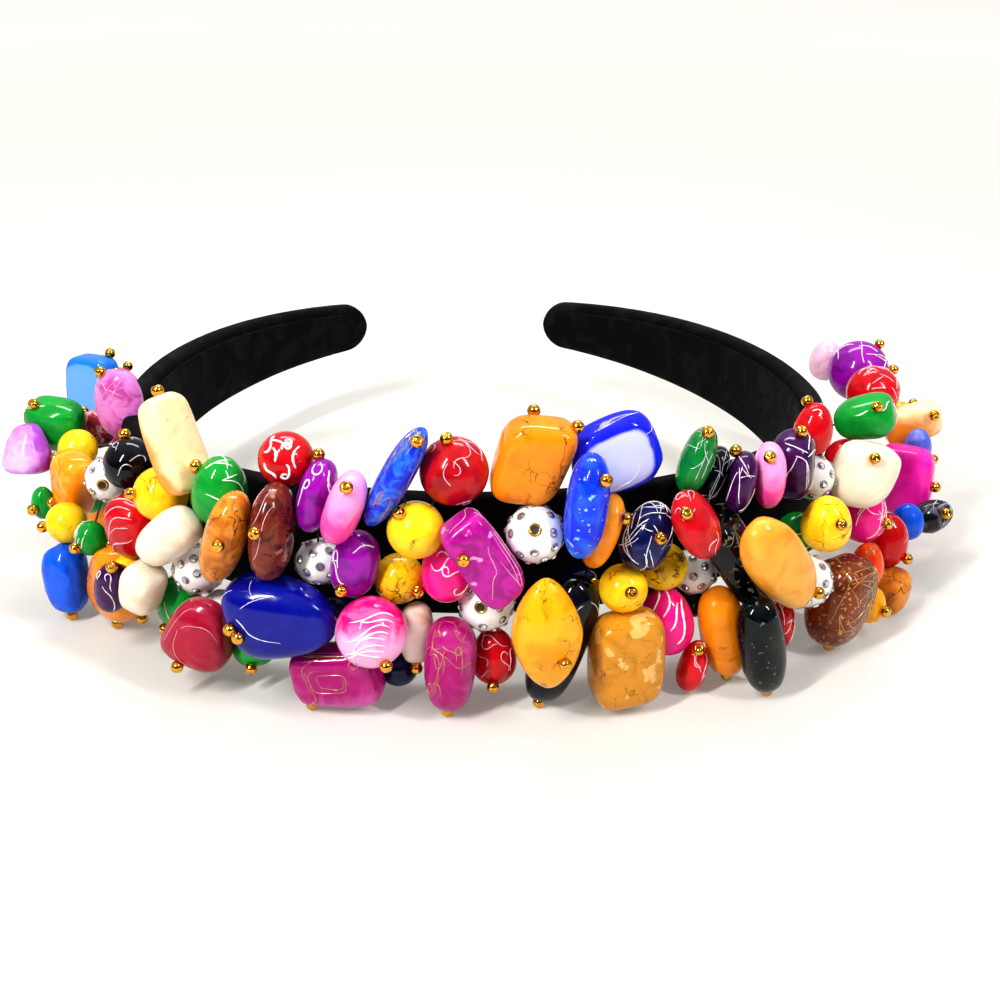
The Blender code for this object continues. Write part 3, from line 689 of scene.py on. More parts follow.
BLUE = Resin("0f5be0", "0b3aa8", 0.6, 5.0)
RED = Resin("c80d1a", "8c0510", 0.55, 5.0)
DEEP_RED = Resin("b3101c", "6e0810", 0.6, 5.0)
ROSE_RED = Resin("9c1030", "b83a54", 0.5, 6.0, (0.0, 0.1, -0.18), 0.1)
PURPLE = Resin("92129e", "4a0a62", 0.6, 4.0)
DARK_PURPLE = Resin("430b52", "1a0326", 0.7, 4.0)
AMBER = Resin(
    "ea8a10", "cc6e06", 0.6, 6.0, vein="4d1f04", vein_gap=8.0, vein_width=0.018,
    vein_share=0.5, milk=0.1,
)
PATCHED_AMBER = Resin(
    "cf8c26", "a86c14", 0.6, 5.0, vein="57300b", vein_gap=6.0, vein_width=0.016,
    vein_share=0.5, blot="dcb066", blot_size=6.0, blot_share=0.22, milk=0.1,
)
BROWN_AMBER = Resin(
    "dd8a2e", "93490f", 0.7, 5.0, vein="3f1f08", vein_gap=5.0, vein_width=0.04,
    vein_share=0.6, milk=0.1,
)
GOLDEN = Resin(
    "f7ab18", "e08a08", 0.6, 5.0, vein="4a2405", vein_gap=7.0, vein_width=0.018,
    vein_share=0.5, milk=0.1,
)
HONEY = Resin("eea83e", "d07a14", 0.55, 7.0, (0.1, 0.0, 0.08), 0.3, milk=0.15)
CREAM = Resin("ebdec9", "cdbd9f", 0.5, 7.0, rough=0.2, milk=0.2)
SHELL = Resin("f7e6da", "c08f6c", 0.15, 4.0, (0.16, 0.1, 0.0), 0.35, milk=0.2)
WHITE = Resin("f1ece6", "cfc7bf", 0.4, 4.0, milk=0.2)
TIGER = Resin(
    "7c3322", "35110b", 0.85, 4.5, blot="a8735f", blot_size=7.0, blot_share=0.14,
    vein="2a0d08", vein_gap=6.0, vein_width=0.05, vein_share=0.5,
)
HOT_PINK = Resin("f01c90", "dc0f3e", 0.35, 5.0, (0.1, 0.0, 0.0), -0.2, milk=0.1)
MAGENTA = Resin(
    "b51a93", "6f0a5c", 0.6, 4.0, blot="d58cc9", blot_size=5.0, blot_share=0.06
)
DRIZZLED_MAGENTA = Resin("a2086a", "c2509a", 0.25, 6.0, (0.25, 0.0, 0.0), 0.35)
PINK = Resin("f0489f", "f79cd4", 0.3, 5.0, (0.0, 0.13, 0.0), -0.35, milk=0.2)
FUCHSIA = Resin("ee22a6", "c8107c", 0.4, 5.0, milk=0.1)
BALL_PINK = Resin("e0147c", "f4b0de", 0.3, 5.0, (0.0, -0.16, 0.07), -0.6, milk=0.1)
PALE_PINK = Resin("efc3d6", "cf86a8", 0.5, 4.0, milk=0.2)
ROYAL = Resin("060d80", "1c46cc", 0.12, 7.0, (0.25, 0.0, 0.0), 1.3)
BRIGHT_BLUE = Resin(
    "0d2fd8", "2f86f2", 0.3, 5.0, (0.0, -0.12, 0.0), 0.35, blot="8fbcff",
    blot_size=2.0, blot_share=0.1,
)
# face: painted reflection of the lights on the bead's broad face
LILAC_BLUE = Resin("1b22e8", "1014a8", 0.5, 6.0, face="c0c3f3", face_reach=0.74)
SLENDER_BLUE = Resin("1b2fc4", "2f80e6", 0.7, 3.0)
NAVY = Resin("0b1240", "232b7a", 0.6, 4.0)
PERIWINKLE = Resin("5a66cc", "8f9be6", 0.6, 4.0)
BROWN = Resin(
    "7b3718", "45200d", 0.7, 5.0, blot="b98553", blot_size=1.6, blot_share=0.2
)
FLAKED = Resin(
    "060607", "17191d", 0.6, 4.0, blot="7d8184", blot_size=2.2, blot_share=0.1,
    vein="c9a75a", vein_gap=3.0, vein_width=0.04, vein_share=0.25, rough=0.05,
)
TEAL_BLACK = Resin(
    "040506", "10272a", 0.4, 3.0, (0.0, 0.0, -0.2), 1.4, blot="4a686c",
    blot_size=1.8, blot_share=0.05, rough=0.05,
)
GREEN_SILVER = Resin("0a7d33", "101412", 0.3, 4.0, (0.35, 0.0, 0.0), 0.3)
STONES = Resin("f7f5f3", "e6e1dd", 0.4, 3.0, rough=0.22, milk=0.2)

VELVET = Velvet("020203", "111114", 0.06, 7.0)
LINING = Velvet("020202", "0d0d10", 0.03, 6.0)
GOLD = Shiny("e8ac45", 0.12, metal=1.0)
# stones: their dark and light facets are painted reflections
STONE = Shiny("fbfbff", 0.04, metal=0.85, varied=0.6)
# seats: a grey ring round each stone, put there for the shadow in the clay round it
SHADOW_SEAT = Shiny("98948f", 0.3, metal=0.5)
BRASS = Shiny("c9a560", 0.25, metal=0.9)
# painted shade: dark caps that stand in for the depth of the eyelets' holes
HOLE_SHADE = Shiny("2c2013", 0.6)
THREAD = Shiny("08080a", 0.5)

WEB, SCRIBBLE, STRIPE = Stroke.WEB, Stroke.SCRIBBLE, Stroke.STRIPE
PALE, ROSY, SILVER, GILT = Paint.WHITE, Paint.PINK, Paint.SILVER, Paint.GOLD


@dataclass(frozen=True)
class Bead:
    """One bead: where it goes, how it is turned, and its finish.

    A seed bead sits at each of its spots, given as degrees round the bead and up from its waist.
    """

    name: str
    home: Home
    form: Form
    size: tuple[float, float, float]
    arc: float
    rise: float
    out: float
    turned: tuple[float, float, float]
    finish: Resin
    seeds: tuple[Spot, ...] = ()
    lines: Optional[Drizzle] = None

    @property
    def stoned(self) -> bool:
        """Whether clear stones cover it."""
        return self.finish is STONES

    @property
    def pose(self) -> np.ndarray:
        """Its axes in the row frame.

        Returns:
            Across, through and along it, as columns.
        """
        tilt, turn, lean = self.turned
        spin = rotation(2, -tilt) @ rotation(0, lean) @ rotation(1, turn)
        return frame_at(self.arc) @ spin

    @property
    def seed(self) -> int:
        """A fixed number of its own, for what varies from bead to bead."""
        return zlib.crc32(self.name.encode())

    def surface(self, unit: np.ndarray, form: tuple[float, ...], lumpy: bool) -> np.ndarray:
        """Points of a unit sphere moved onto the bead, about its own centre and in its own axes.

        Args:
            unit: points of the sphere.
            form: outline, section, taper, skew and lumps.
            lumpy: whether to add its lumps.

        Returns:
            The points, in mm.
        """
        outline, section, taper, skew, lumps = form
        along, across, through = (side / 2 for side in self.size)
        height = np.clip(unit[:, 2], -1.0, 1.0)
        girth = np.sqrt(np.clip(1.0 - height**2, 0.0, 1.0))
        turn = np.arctan2(-unit[:, 1], unit[:, 0])
        level = np.sign(height) * np.abs(height) ** (2 / outline)
        wide = np.sign(np.cos(turn)) * np.abs(np.cos(turn)) ** (2 / section)
        deep = np.sign(np.sin(turn)) * np.abs(np.sin(turn)) ** (2 / section)
        grown = girth ** (2 / outline) * (1.0 + taper * level)
        points = np.stack(
            [across * (wide * grown + skew * level), along * level, through * deep * grown], -1
        )
        if not lumpy:
            return points
        random = np.random.default_rng(self.seed)
        swell = np.zeros(len(unit))
        for pitch in LUMP_PITCHES:
            for _ in range(LUMP_WAVES):
                way = random.normal(size=3)
                swell += np.sin(unit @ way * pitch + random.uniform(0, 6.3)) / pitch
        return points * (1.0 + swell[:, None] * lumps * LUMP_RISE / min(along, across, through))

    def spot(self, around: float, up: float) -> tuple[np.ndarray, np.ndarray]:
        """A place on the bead.

        Args:
            around: degrees round it.
            up: degrees up from its waist.

        Returns:
            The point, about the bead's centre in the row frame, and the outward direction there.
        """
        angle, height = math.radians(around), math.radians(up)
        flat = math.cos(height)
        unit = np.array([flat * math.cos(angle), flat * math.sin(angle), math.sin(height)])
        point, way = self.spots(unit[None, :])
        return point[0], way[0]

    def spots(self, unit: np.ndarray) -> tuple[np.ndarray, np.ndarray]:
        """Many places on the bead at once.

        Args:
            unit: their directions on the unit sphere.

        Returns:
            The points, about the bead's centre in the row frame, and the outward directions.
        """
        first = np.cross(unit, [0.3, 0.5, 0.81])
        first /= np.linalg.norm(first, axis=1, keepdims=True)
        second = np.cross(unit, first)

        def at(way: np.ndarray) -> np.ndarray:
            """The bead's points in those directions."""
            way = way / np.linalg.norm(way, axis=1, keepdims=True)
            return self.surface(way, self.form.shown, True) @ self.pose.T

        point = at(unit)
        normal = np.cross(at(unit + first * NUDGE) - point, at(unit + second * NUDGE) - point)
        normal /= np.linalg.norm(normal, axis=1, keepdims=True) + 1e-12
        return point, normal * np.sign((normal * point).sum(axis=1, keepdims=True))


L, R, OWN, FOOT, EXTRA = Home.LEFT, Home.RIGHT, Home.OWN, Home.FOOT, Home.EXTRA


def ball(
    name: str, home: Home, wide: float, arc: float, rise: float, out: float, finish: Resin,
    seeds: tuple[Spot, ...] = (), lines: Optional[Drizzle] = None,
) -> Bead:
    """Makes the row of a round bead.

    Args:
        name: its name.
        home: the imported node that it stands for.
        wide: its diameter.
        arc: where it is along the band.
        rise: how far over the band's mid-plane.
        out: how far off the band's face.
        finish: its resin.
        seeds: the spots with a seed bead.
        lines: the lines over it.

    Returns:
        The row.
    """
    return Bead(
        name, home, Form.BALL, (wide,) * 3, arc, rise, out, (0, 0, 0), finish, seeds, lines
    )


BEADS: tuple[Bead, ...] = (
    # left flank, from the back to the front
    Bead("light_blue_slab", OWN, Form.SLAB, (14, 11.5, 7.5), -104, 6, 12, (-6, 75, 0), SKY,
         ((50, 65), (0, 15))),
    Bead("pink_oval_back", OWN, Form.DISC, (17, 11.5, 8), -107, -0.5, 8, (4, 70, 0), PINK_CLEAR,
         ((80, 65),), Drizzle(WEB, ROSY, 12, 0.14)),
    Bead("pink_oval_top", EXTRA, Form.DISC, (16, 10.5, 6.5), -82, 12.5, -0.6, (6, 62, 0),
         PINK_CLEAR, ((200, 60),), Drizzle(WEB, ROSY, 14, 0.13)),
    Bead("crystal_small", L, Form.EGG, (8.5, 8, 8), -92, 2.5, 6.5, (0, 0, 0), CRYSTAL, ((230, 40),),
         Drizzle(WEB, ROSY, 10, 0.16)),
    Bead("green_nugget_left", OWN, Form.NUGGET, (12, 12.5, 9), -88, 6, 14, (10, 70, 0), GREEN,
         ((225, 60),), Drizzle(WEB, PALE, 3, 0.3)),
    Bead("lilac_nugget", OWN, Form.WEDGE, (10.5, 8.5, 8), -84, 3.5, 19, (-20, 60, 0), LILAC),
    ball("yellow_ball_a", L, 8.2, -79, 3, 9.5, YELLOW, ((275, -15),)),
    Bead("green_small_a", L, Form.EGG, (7, 5, 5), -79, -6, 17, (0, 0, 0), GREEN, ((315, -5),)),
    Bead("orange_nugget", OWN, Form.NUGGET, (15, 9.6, 8), -73.2, -1.5, 10, (12, 20, 0), ORANGE,
         ((245, -30),), Drizzle(SCRIBBLE, GILT, 2, 0.3)),
    ball("rhinestone_a", L, 9, -70, 3, 7.5, STONES, ((330, 10),)),
    ball("black_ball_left", L, 10.4, -59.5, 10, 4.6, BLACK, ((165, 70),),
         Drizzle(SCRIBBLE, SILVER, 5, 0.24)),
    Bead("peach_slab", OWN, Form.SLAB, (18.5, 10, 6.5), -47, 18.5, 8, (-23, 85, 0), PEACH,
         ((65, 85), (270, -15))),
    ball("yellow_ball_b", L, 8.4, -71, -9, 13.5, YELLOW, ((245, -10),)),
    Bead("malachite_small", L, Form.EGG, (7, 6.5, 6.5), -65, -7.5, 12, (0, 0, 0), GREEN,
         ((285, -10), (40, -10)), Drizzle(STRIPE, PALE, 7, 0.3)),
    Bead("blue_nugget_left", FOOT, Form.NUGGET, (14.5, 8.6, 8), -69.6, -17, 14.8, (-14, 35, 0),
         BLUE),
    Bead("red_nugget", OWN, Form.NUGGET, (12.5, 11, 9), -55, 0, 10, (10, 15, 0), RED, ((60, -60),),
         Drizzle(STRIPE, ROSY, 5, 0.3)),
    Bead("purple_oval_left", L, Form.DISC, (11.5, 6.5, 6), -54.5, -10.5, 16, (15, 20, 0),
         DARK_PURPLE, ((290, 70),), Drizzle(SCRIBBLE, PALE, 3, 0.26)),
    Bead("amber_flat", FOOT, Form.NUGGET, (17, 14.5, 9), -60, -16, 11, (30, 5, 0), AMBER,
         ((10, -10),)),
    ball("yellow_ball_c", L, 10.4, -45.5, 9.5, 10.5, YELLOW, ((245, 15),)),
    Bead("green_egg", OWN, Form.EGG, (13.3, 10.2, 10.2), -36.5, 13, 11, (8, 0, 0), GREEN,
         ((200, 35),), Drizzle(WEB, PALE, 6, 0.26)),
    Bead("cream_long", OWN, Form.CAPSULE, (16, 8.5, 8), -44.6, 5.5, 11.5, (50, 0, 0), CREAM),
    Bead("cream_low", L, Form.NUGGET, (11, 8, 8), -48, -8.5, 14, (15, 0, 0), CREAM),
    ball("rhinestone_b", L, 10.2, -42.5, -3, 9.5, STONES),
    Bead("green_ball_left", L, Form.EGG, (11, 8.8, 8.8), -47, -12, 10.5, (0, 0, 0), GREEN,
         ((255, -50),), Drizzle(WEB, PALE, 4, 0.26)),
    Bead("red_wedge", OWN, Form.WEDGE, (14, 12, 9), -38.6, -12.7, 15.5, (12, 5, 0), ROSE_RED,
         ((265, -50),), Drizzle(WEB, ROSY, 5, 0.1)),
    Bead("amber_disc", OWN, Form.DISC, (18, 11, 7.5), -33.2, 9.8, 15, (18, 100, 0), BROWN_AMBER,
         ((185, 10),)),
    Bead("tiger_disc", OWN, Form.DISC, (18, 12.5, 7.5), -28, 11, 14, (6, 95, 0), TIGER,
         ((170, 15),), Drizzle(STRIPE, ROSY, 3, 0.16)),
    ball("red_ball_left", L, 10, -28, 21, 8, RED, (), Drizzle(SCRIBBLE, PALE, 7, 0.55, 60, 45)),
    Bead("purple_disc", L, Form.DISC, (14, 9.5, 6.5), -24, 16.5, 11, (14, 90, 0), PURPLE,
         ((55, 65),), Drizzle(SCRIBBLE, PALE, 4, 0.3)),
    Bead("pink_disc_left", OWN, Form.DISC, (14, 10.5, 6.5), -18.5, 17, 14.5, (20, 90, 0), PINK,
         ((170, 50),)),
    ball("rhinestone_c", L, 8.4, -23.5, 3, 9.5, STONES),
    Bead("magenta_oval_left", L, Form.DISC, (13, 8.5, 8), -17.8, 4.5, 13, (12, 40, 0), PURPLE,
         ((220, -25),), Drizzle(SCRIBBLE, PALE, 4, 0.26)),
    Bead("blue_kite", OWN, Form.KITE, (20.5, 15, 11), -27, -5, 16, (78, 0, 0), ROYAL,
         ((270, -40), (275, -30)), Drizzle(WEB, PALE, 4, 0.14)),
    Bead("green_low", L, Form.DISC, (9, 7.5, 6), -33.5, -17, 11, (70, 0, 0), GREEN, ((310, 0),)),
    ball("red_small_a", EXTRA, 5.4, -81, -3.2, 11.5, RED),
    ball("yellow_small_b", EXTRA, 5.6, -55, -8.2, 11.5, YELLOW, ((300, 20),)),
    Bead("white_disc_left", EXTRA, Form.DISC, (8.5, 7, 5.5), -39.8, -13, 7.5, (0, 30, 0), WHITE),
    # the crown, left half
    Bead("blue_slender", OWN, Form.DISC, (20.5, 10.5, 5.5), -13.2, 21.8, 12, (28, 90, 0),
         SLENDER_BLUE, ((175, 60),), Drizzle(SCRIBBLE, GILT, 12, 0.14)),
    ball("red_ball_crown", OWN, 12.2, -6.6, 22.8, 9.5, DEEP_RED, ((225, 75),),
         Drizzle(SCRIBBLE, ROSY, 7, 0.2)),
    ball("yellow_ball_crown", OWN, 10.2, -10.3, 13.8, 13.5, YELLOW, ((225, 50),)),
    Bead("magenta_slab", OWN, Form.SLAB, (18, 9.2, 8.4), -2.8, 10, 16, (-34, 12, 0), MAGENTA,
         ((250, 10),), Drizzle(WEB, ROSY, 7, 0.13)),
    Bead("hot_pink_ball", L, Form.EGG, (12, 9, 9), -7.6, 4, 11, (0, 0, 0), HOT_PINK, (),
         Drizzle(SCRIBBLE, PALE, 5, 0.3)),
    ball("yellow_ball_d", L, 9.2, -12.8, 1, 9.5, OLD_YELLOW, ((315, -5),)),
    ball("pink_striped_ball", OWN, 13, -16.2, -7, 16, BALL_PINK, ((305, -30),),
         Drizzle(STRIPE, PALE, 8, 0.32, 105, 50)),
    Bead("magenta_drizzle_slab", FOOT, Form.SLAB, (16.5, 11.5, 8.5), -20.5, -17, 13.5, (80, 0, 0),
         DRIZZLED_MAGENTA, (), Drizzle(SCRIBBLE, GILT, 9, 0.14)),
    Bead("pinkish_oval", L, Form.CAPSULE, (12, 6.2, 6.2), -10.5, -10, 10.5, (0, 0, 0), SHELL,
         ((280, -65),)),
    Bead("magenta_capsule", FOOT, Form.CAPSULE, (19, 9.4, 9), -6.9, -12, 13, (2, 0, 0),
         DRIZZLED_MAGENTA, (), Drizzle(SCRIBBLE, GILT, 14, 0.15)),
    ball("rhinestone_d", L, 10.2, -2.3, -4, 9.5, STONES, ((255, 20),)),
    Bead("red_ball_low", L, Form.EGG, (11, 8.6, 8.6), -1, -15.5, 8.5, (0, 0, 0), RED, ((265, -40),),
         Drizzle(SCRIBBLE, ROSY, 8, 0.24)),
    ball("navy_small", EXTRA, 7.6, -13.5, -18.6, 8, NAVY),
    ball("navy_small_b", EXTRA, 7, -22.3, -9, 6.2, NAVY),
    ball("black_small_a", EXTRA, 7, 27.8, -10, 6.2, BLACK),
    # the crown, right half
    Bead("amber_block", OWN, Form.LEAN_SLAB, (15.5, 12.5, 9), 3, 22.3, 10, (8, 0, 0), AMBER,
         ((95, 58), (355, 55))),
    ball("rhinestone_crown", OWN, 10.2, 2.7, 13.5, 13, STONES, ((260, 35),)),
    Bead("amber_diamond", OWN, Form.DIAMOND, (22.5, 12.5, 9), 5, -5, 16.5, (-6, 5, 0), GOLDEN,
         ((285, -25),)),
    Bead("black_long", FOOT, Form.CAPSULE, (26.5, 10, 8.5), 7.8, -12, 10, (16, 10, 0), BLACK, (),
         Drizzle(WEB, PALE, 5, 0.15)),
    ball("navy_ball", L, 7.6, 10.2, -4, 8.5, NAVY, ((290, 30),), Drizzle(SCRIBBLE, PALE, 5, 0.24)),
    Bead("blue_large", OWN, Form.NUGGET, (16.5, 14, 8), 13.9, 22.8, 8, (70, 0, 0), LILAC_BLUE, (),
         Drizzle(WEB, PALE, 4, 0.12)),
    Bead("blue_oval", OWN, Form.DISC, (19.5, 11, 7.5), 9.6, 17.8, 15.5, (5, 75, 0), BRIGHT_BLUE,
         ((215, 40),)),
    ball("yellow_ball_e", L, 9, 15, -3.5, 13.5, YELLOW, ((265, 20),)),
    Bead("amber_large_slab", FOOT, Form.SLAB, (18.5, 14, 9), 14.8, -14, 14, (-4, 0, 0),
         PATCHED_AMBER),
    Bead("orange_disc", R, Form.DISC, (14.2, 9.5, 6), 13.6, 10.8, 12, (18, 80, 0), ORANGE,
         ((215, 35),), Drizzle(SCRIBBLE, ROSY, 3, 0.24)),
    Bead("web_ball", OWN, Form.EGG, (13, 9.4, 9.4), 16.4, 10.3, 13.5, (20, 0, 0), NAVY,
         ((265, 15),), Drizzle(WEB, PALE, 30, 0.2, 60, 80)),
    Bead("red_disc_right", OWN, Form.DISC, (13.5, 11, 6.5), 22, 13, 13.5, (-38, 50, 0), RED,
         ((220, 55),), Drizzle(SCRIBBLE, ROSY, 6, 0.22)),
    ball("yellow_ball_f", R, 9.2, 21.4, 0.3, 9, OLD_YELLOW),
    ball("rhinestone_e", R, 8.6, 27, -3.4, 8, STONES),
    Bead("hot_pink_banded", R, Form.EGG, (14, 10, 10), 22.6, -11.3, 11, (-12, 0, 0), HOT_PINK, (),
         Drizzle(STRIPE, PALE, 4, 0.5, 80)),
    Bead("red_small_b", R, Form.EGG, (10.5, 5.8, 5.8), 25.6, -18.5, 13, (12, 0, 0), RED,
         ((235, 50),), Drizzle(SCRIBBLE, ROSY, 6, 0.24)),
    Bead("amber_capsule", FOOT, Form.CAPSULE, (19.5, 8.4, 8.4), 29, -13, 14, (-12, 0, 0), AMBER),
    Bead("black_flake_slab", OWN, Form.SLAB, (22, 11.5, 7), 31.6, 3.6, 14.6, (-36, 50, 0), FLAKED,
         ((245, -50),), Drizzle(WEB, SILVER, 4, 0.14)),
    Bead("green_disc_top", R, Form.DISC, (12.5, 10, 6), 25.2, 18.3, 11, (18, 50, 0), GREEN_SILVER,
         ((185, 60),), Drizzle(WEB, SILVER, 9, 0.16)),
    Bead("web_disc_dark", R, Form.DISC, (12.5, 8.5, 5), 27.6, 16.5, 8, (22, 60, 0), BLACK, (),
         Drizzle(WEB, SILVER, 12, 0.16)),
    Bead("purple_oval_right", R, Form.DISC, (11.5, 8.5, 5.5), 30.8, 15.2, 10.5, (8, 50, 0),
         DARK_PURPLE, ((80, 60),), Drizzle(WEB, PALE, 6, 0.2)),
    Bead("pink_disc_right", R, Form.DISC, (12.5, 10, 6), 35.6, 16, 11, (-2, 55, 0), PINK,
         ((165, 50),)),
    # right flank, from the front to the back
    Bead("black_long_right", FOOT, Form.CAPSULE, (21, 8.6, 8.4), 31.4, -15, 20.1, (-14, 0, 0),
         TEAL_BLACK),
    Bead("amber_leaf", OWN, Form.LEAF, (24.5, 11.4, 7.6), 33.6, 0.6, 16.1, (-41, 5, 0), HONEY,
         ((315, -65),)),
    ball("green_ball_right", R, 8.6, 46, 0.1, 10.5, GREEN, ((275, 45),),
         Drizzle(WEB, PALE, 4, 0.24)),
    Bead("yellow_ball_g", R, Form.EGG, (11, 9.6, 9.6), 46, 2, 13, (0, 0, 0), YELLOW, ((245, 20),)),
    ball("rhinestone_right", OWN, 10.2, 42.6, -7.3, 16.5, STONES, ((225, 25),)),
    Bead("red_striped_small", R, Form.DISC, (11.5, 7, 5), 40.8, -17, 12.5, (-4, 60, 0), RED, (),
         Drizzle(WEB, PALE, 10, 0.24)),
    Bead("navy_nugget", R, Form.NUGGET, (13, 9, 8), 43.7, 14, 8, (-10, 30, 0), DARK_PURPLE,
         ((290, 80),), Drizzle(WEB, PALE, 8, 0.26)),
    Bead("red_oval_right", R, Form.EGG, (10.5, 8, 7.5), 51, 17.5, 5.5, (6, 0, 0), RED, ((95, 60),),
         Drizzle(SCRIBBLE, PALE, 4, 0.3)),
    ball("rhinestone_f", R, 8.8, 51.7, 9.5, 8.5, STONES),
    Bead("cream_nugget_right", OWN, Form.NUGGET, (13.5, 13, 9.5), 54.8, 8.5, 12, (20, -40, 0),
         CREAM, ((260, 30),)),
    Bead("green_nugget_right", OWN, Form.NUGGET, (12.5, 10.5, 9), 72, 11.5, 8, (0, 0, 72), GREEN,
         ((140, 25),), Drizzle(SCRIBBLE, PALE, 3, 0.36)),
    Bead("web_ball_pink", R, Form.EGG, (12.5, 9, 9), 60, -2.7, 13.5, (0, 0, 0), HOT_PINK,
         ((265, -5),), Drizzle(WEB, PALE, 26, 0.2, 60, 70)),
    Bead("red_ball_right", R, Form.EGG, (12, 9, 9), 66.5, -11, 17, (0, 0, 0), RED, ((260, -25),),
         Drizzle(WEB, ROSY, 3, 0.16)),
    Bead("orange_ball_right", R, Form.EGG, (10, 7, 7), 58, -12, 16.5, (0, 0, 0), VERMILION, (),
         Drizzle(SCRIBBLE, GILT, 5, 0.24)),
    Bead("brown_web_nugget", FOOT, Form.NUGGET, (18.5, 14.5, 11), 48.1, -14, 17.2, (8, 0, 0), BROWN,
         (), Drizzle(WEB, GILT, 26, 0.2, 50, 60)),
    Bead("amber_small_right", R, Form.EGG, (8, 6.5, 6.5), 56, -18, 19, (0, 0, 0), GOLDEN,
         ((190, 55), (255, 0))),
    Bead("amber_nugget_low", R, Form.NUGGET, (9, 8, 7.5), 64, -19, 20, (0, 0, 0), BROWN_AMBER),
    Bead("hot_pink_slab", OWN, Form.SLAB, (15, 12.5, 7.5), 82, -6.2, 20, (0, 70, 0), FUCHSIA,
         ((175, 0),)),
    Bead("peach_slab_right", OWN, Form.SLAB, (13, 8, 6.5), 89, 2, 22.5, (0, 90, 75), PEACH,
         ((70, 20),)),
    ball("purple_web_ball", OWN, 14.5, 104, 5.3, 19.5, PURPLE, ((265, 55),),
         Drizzle(WEB, PALE, 22, 0.26, 60, 90)),
    ball("red_splash_ball", OWN, 12, 93, 8, 14, RED, ((275, 50),),
         Drizzle(WEB, ROSY, 26, 0.3, 50, 80)),
    Bead("pale_pink_back", R, Form.EGG, (10, 8, 8), 109, 4.6, 17.5, (0, 0, 0), PALE_PINK),
    ball("yellow_small_c", R, 7, 94, 0.5, 22.5, YELLOW, ((270, 45),)),
    Bead("periwinkle_small", R, Form.EGG, (9, 6.5, 6.5), 85, -1, 21, (0, 0, 0), PERIWINKLE,
         ((245, -25),)),
    Bead("grey_small", R, Form.EGG, (9, 7, 7), 77, -11, 24.5, (0, 0, 60), GREY, ((165, 40),),
         Drizzle(WEB, SILVER, 5, 0.2)),
    Bead("blue_small", R, Form.EGG, (8, 7, 7), 71, -9.5, 19.5, (0, 0, 0), BLUE),
    # the base of the crowd and the backs of the flanks, which the picture doesn't show
    ball("prop_left", L, 12, -97, -19, 8, ORANGE),
    ball("base_left_back", L, 8.5, -101, -3, 5, HOT_PINK),
    ball("base_left_low", L, 10, -87, -9, 8, GREEN),
    ball("base_cream", R, 9, 70, 4, 5.5, DEEP_RED),
    ball("prop_right", R, 12, 98, -19, 8, PURPLE),
    ball("base_right_low", R, 10, 88, -9, 7.5, ORANGE),
)


@dataclass(frozen=True)
class Course:
    """The line that the band follows, seen from above, and its width along it."""

    half_span: float = 74.0
    crown_depth: float = 54.0
    arm_depth: float = 82.0
    tip_arc: float = 161.0
    facets: int = 39
    thick: float = 5.0
    crown_width: float = 25.0
    tip_width: float = 11.5
    narrowing: float = 2.6
    lining_gap: float = 0.32

    def point(self, arc: Any) -> np.ndarray:
        """Points of the band's centre line.

        Args:
            arc: one arc or many.

        Returns:
            The point at each, seen from above.
        """
        angle = np.radians(np.asarray(arc, float))
        depth = np.where(np.cos(angle) > 0, self.crown_depth, self.arm_depth)
        return np.stack([self.half_span * np.sin(angle), -depth * np.cos(angle)], -1)

    def normal(self, arc: Any) -> np.ndarray:
        """Outward directions of the band.

        Args:
            arc: one arc or many.

        Returns:
            The direction at each, seen from above.
        """
        arc = np.asarray(arc, float)
        along = self.point(arc + 0.01) - self.point(arc - 0.01)
        along = along / np.linalg.norm(along, axis=-1, keepdims=True)
        return np.stack([along[..., 1], -along[..., 0]], -1)

    def width(self, arc: Any) -> np.ndarray:
        """The band's width.

        Args:
            arc: one arc or many.

        Returns:
            The width at each.
        """
        share = (np.abs(arc) / self.tip_arc) ** self.narrowing
        return self.crown_width + (self.tip_width - self.crown_width) * share


COURSE = Course()


def frame_at(arc: float) -> np.ndarray:
    """The band's own axes at an arc, as columns: along it, up, and out of it."""
    out = COURSE.normal(arc)
    return np.array([[-out[1], 0.0, out[0]], [out[0], 0.0, out[1]], [0.0, 1.0, 0.0]])


def rotation(axis: int, degrees: float) -> np.ndarray:
    """A turn about one axis.

    Args:
        axis: 0, 1 or 2.
        degrees: how far.

    Returns:
        The matrix.
    """
    turn = math.radians(degrees)
    first, second = (axis + 1) % 3, (axis + 2) % 3
    made = np.eye(3)
    made[first, first] = made[second, second] = math.cos(turn)
    made[first, second], made[second, first] = -math.sin(turn), math.sin(turn)
    return made


def sphere(sides: int, rings: int) -> bmesh.types.BMesh:
    """Makes a unit sphere.

    Args:
        sides: how many sides round it.
        rings: how many rings from pole to pole.

    Returns:
        Its mesh, to be freed after use.
    """
    mesh = bmesh.new()
    bmesh.ops.create_uvsphere(mesh, u_segments=sides, v_segments=rings, radius=1.0)
    return mesh


def corners_of(mesh: bpy.types.Mesh) -> np.ndarray:
    """Reads a mesh's vertices.

    Args:
        mesh: the mesh.

    Returns:
        Their places, in mm.
    """
    flat = np.empty(len(mesh.vertices) * 3)
    mesh.vertices.foreach_get("co", flat)
    return flat.reshape(-1, 3) / MM


def new_object(name: str, mesh: bpy.types.Mesh) -> bpy.types.Object:
    """Adds an object to the scene.

    Args:
        name: its name.
        mesh: its mesh.

    Returns:
        The object.
    """
    made = bpy.data.objects.new(name, mesh)
    bpy.context.scene.collection.objects.link(made)
    return made


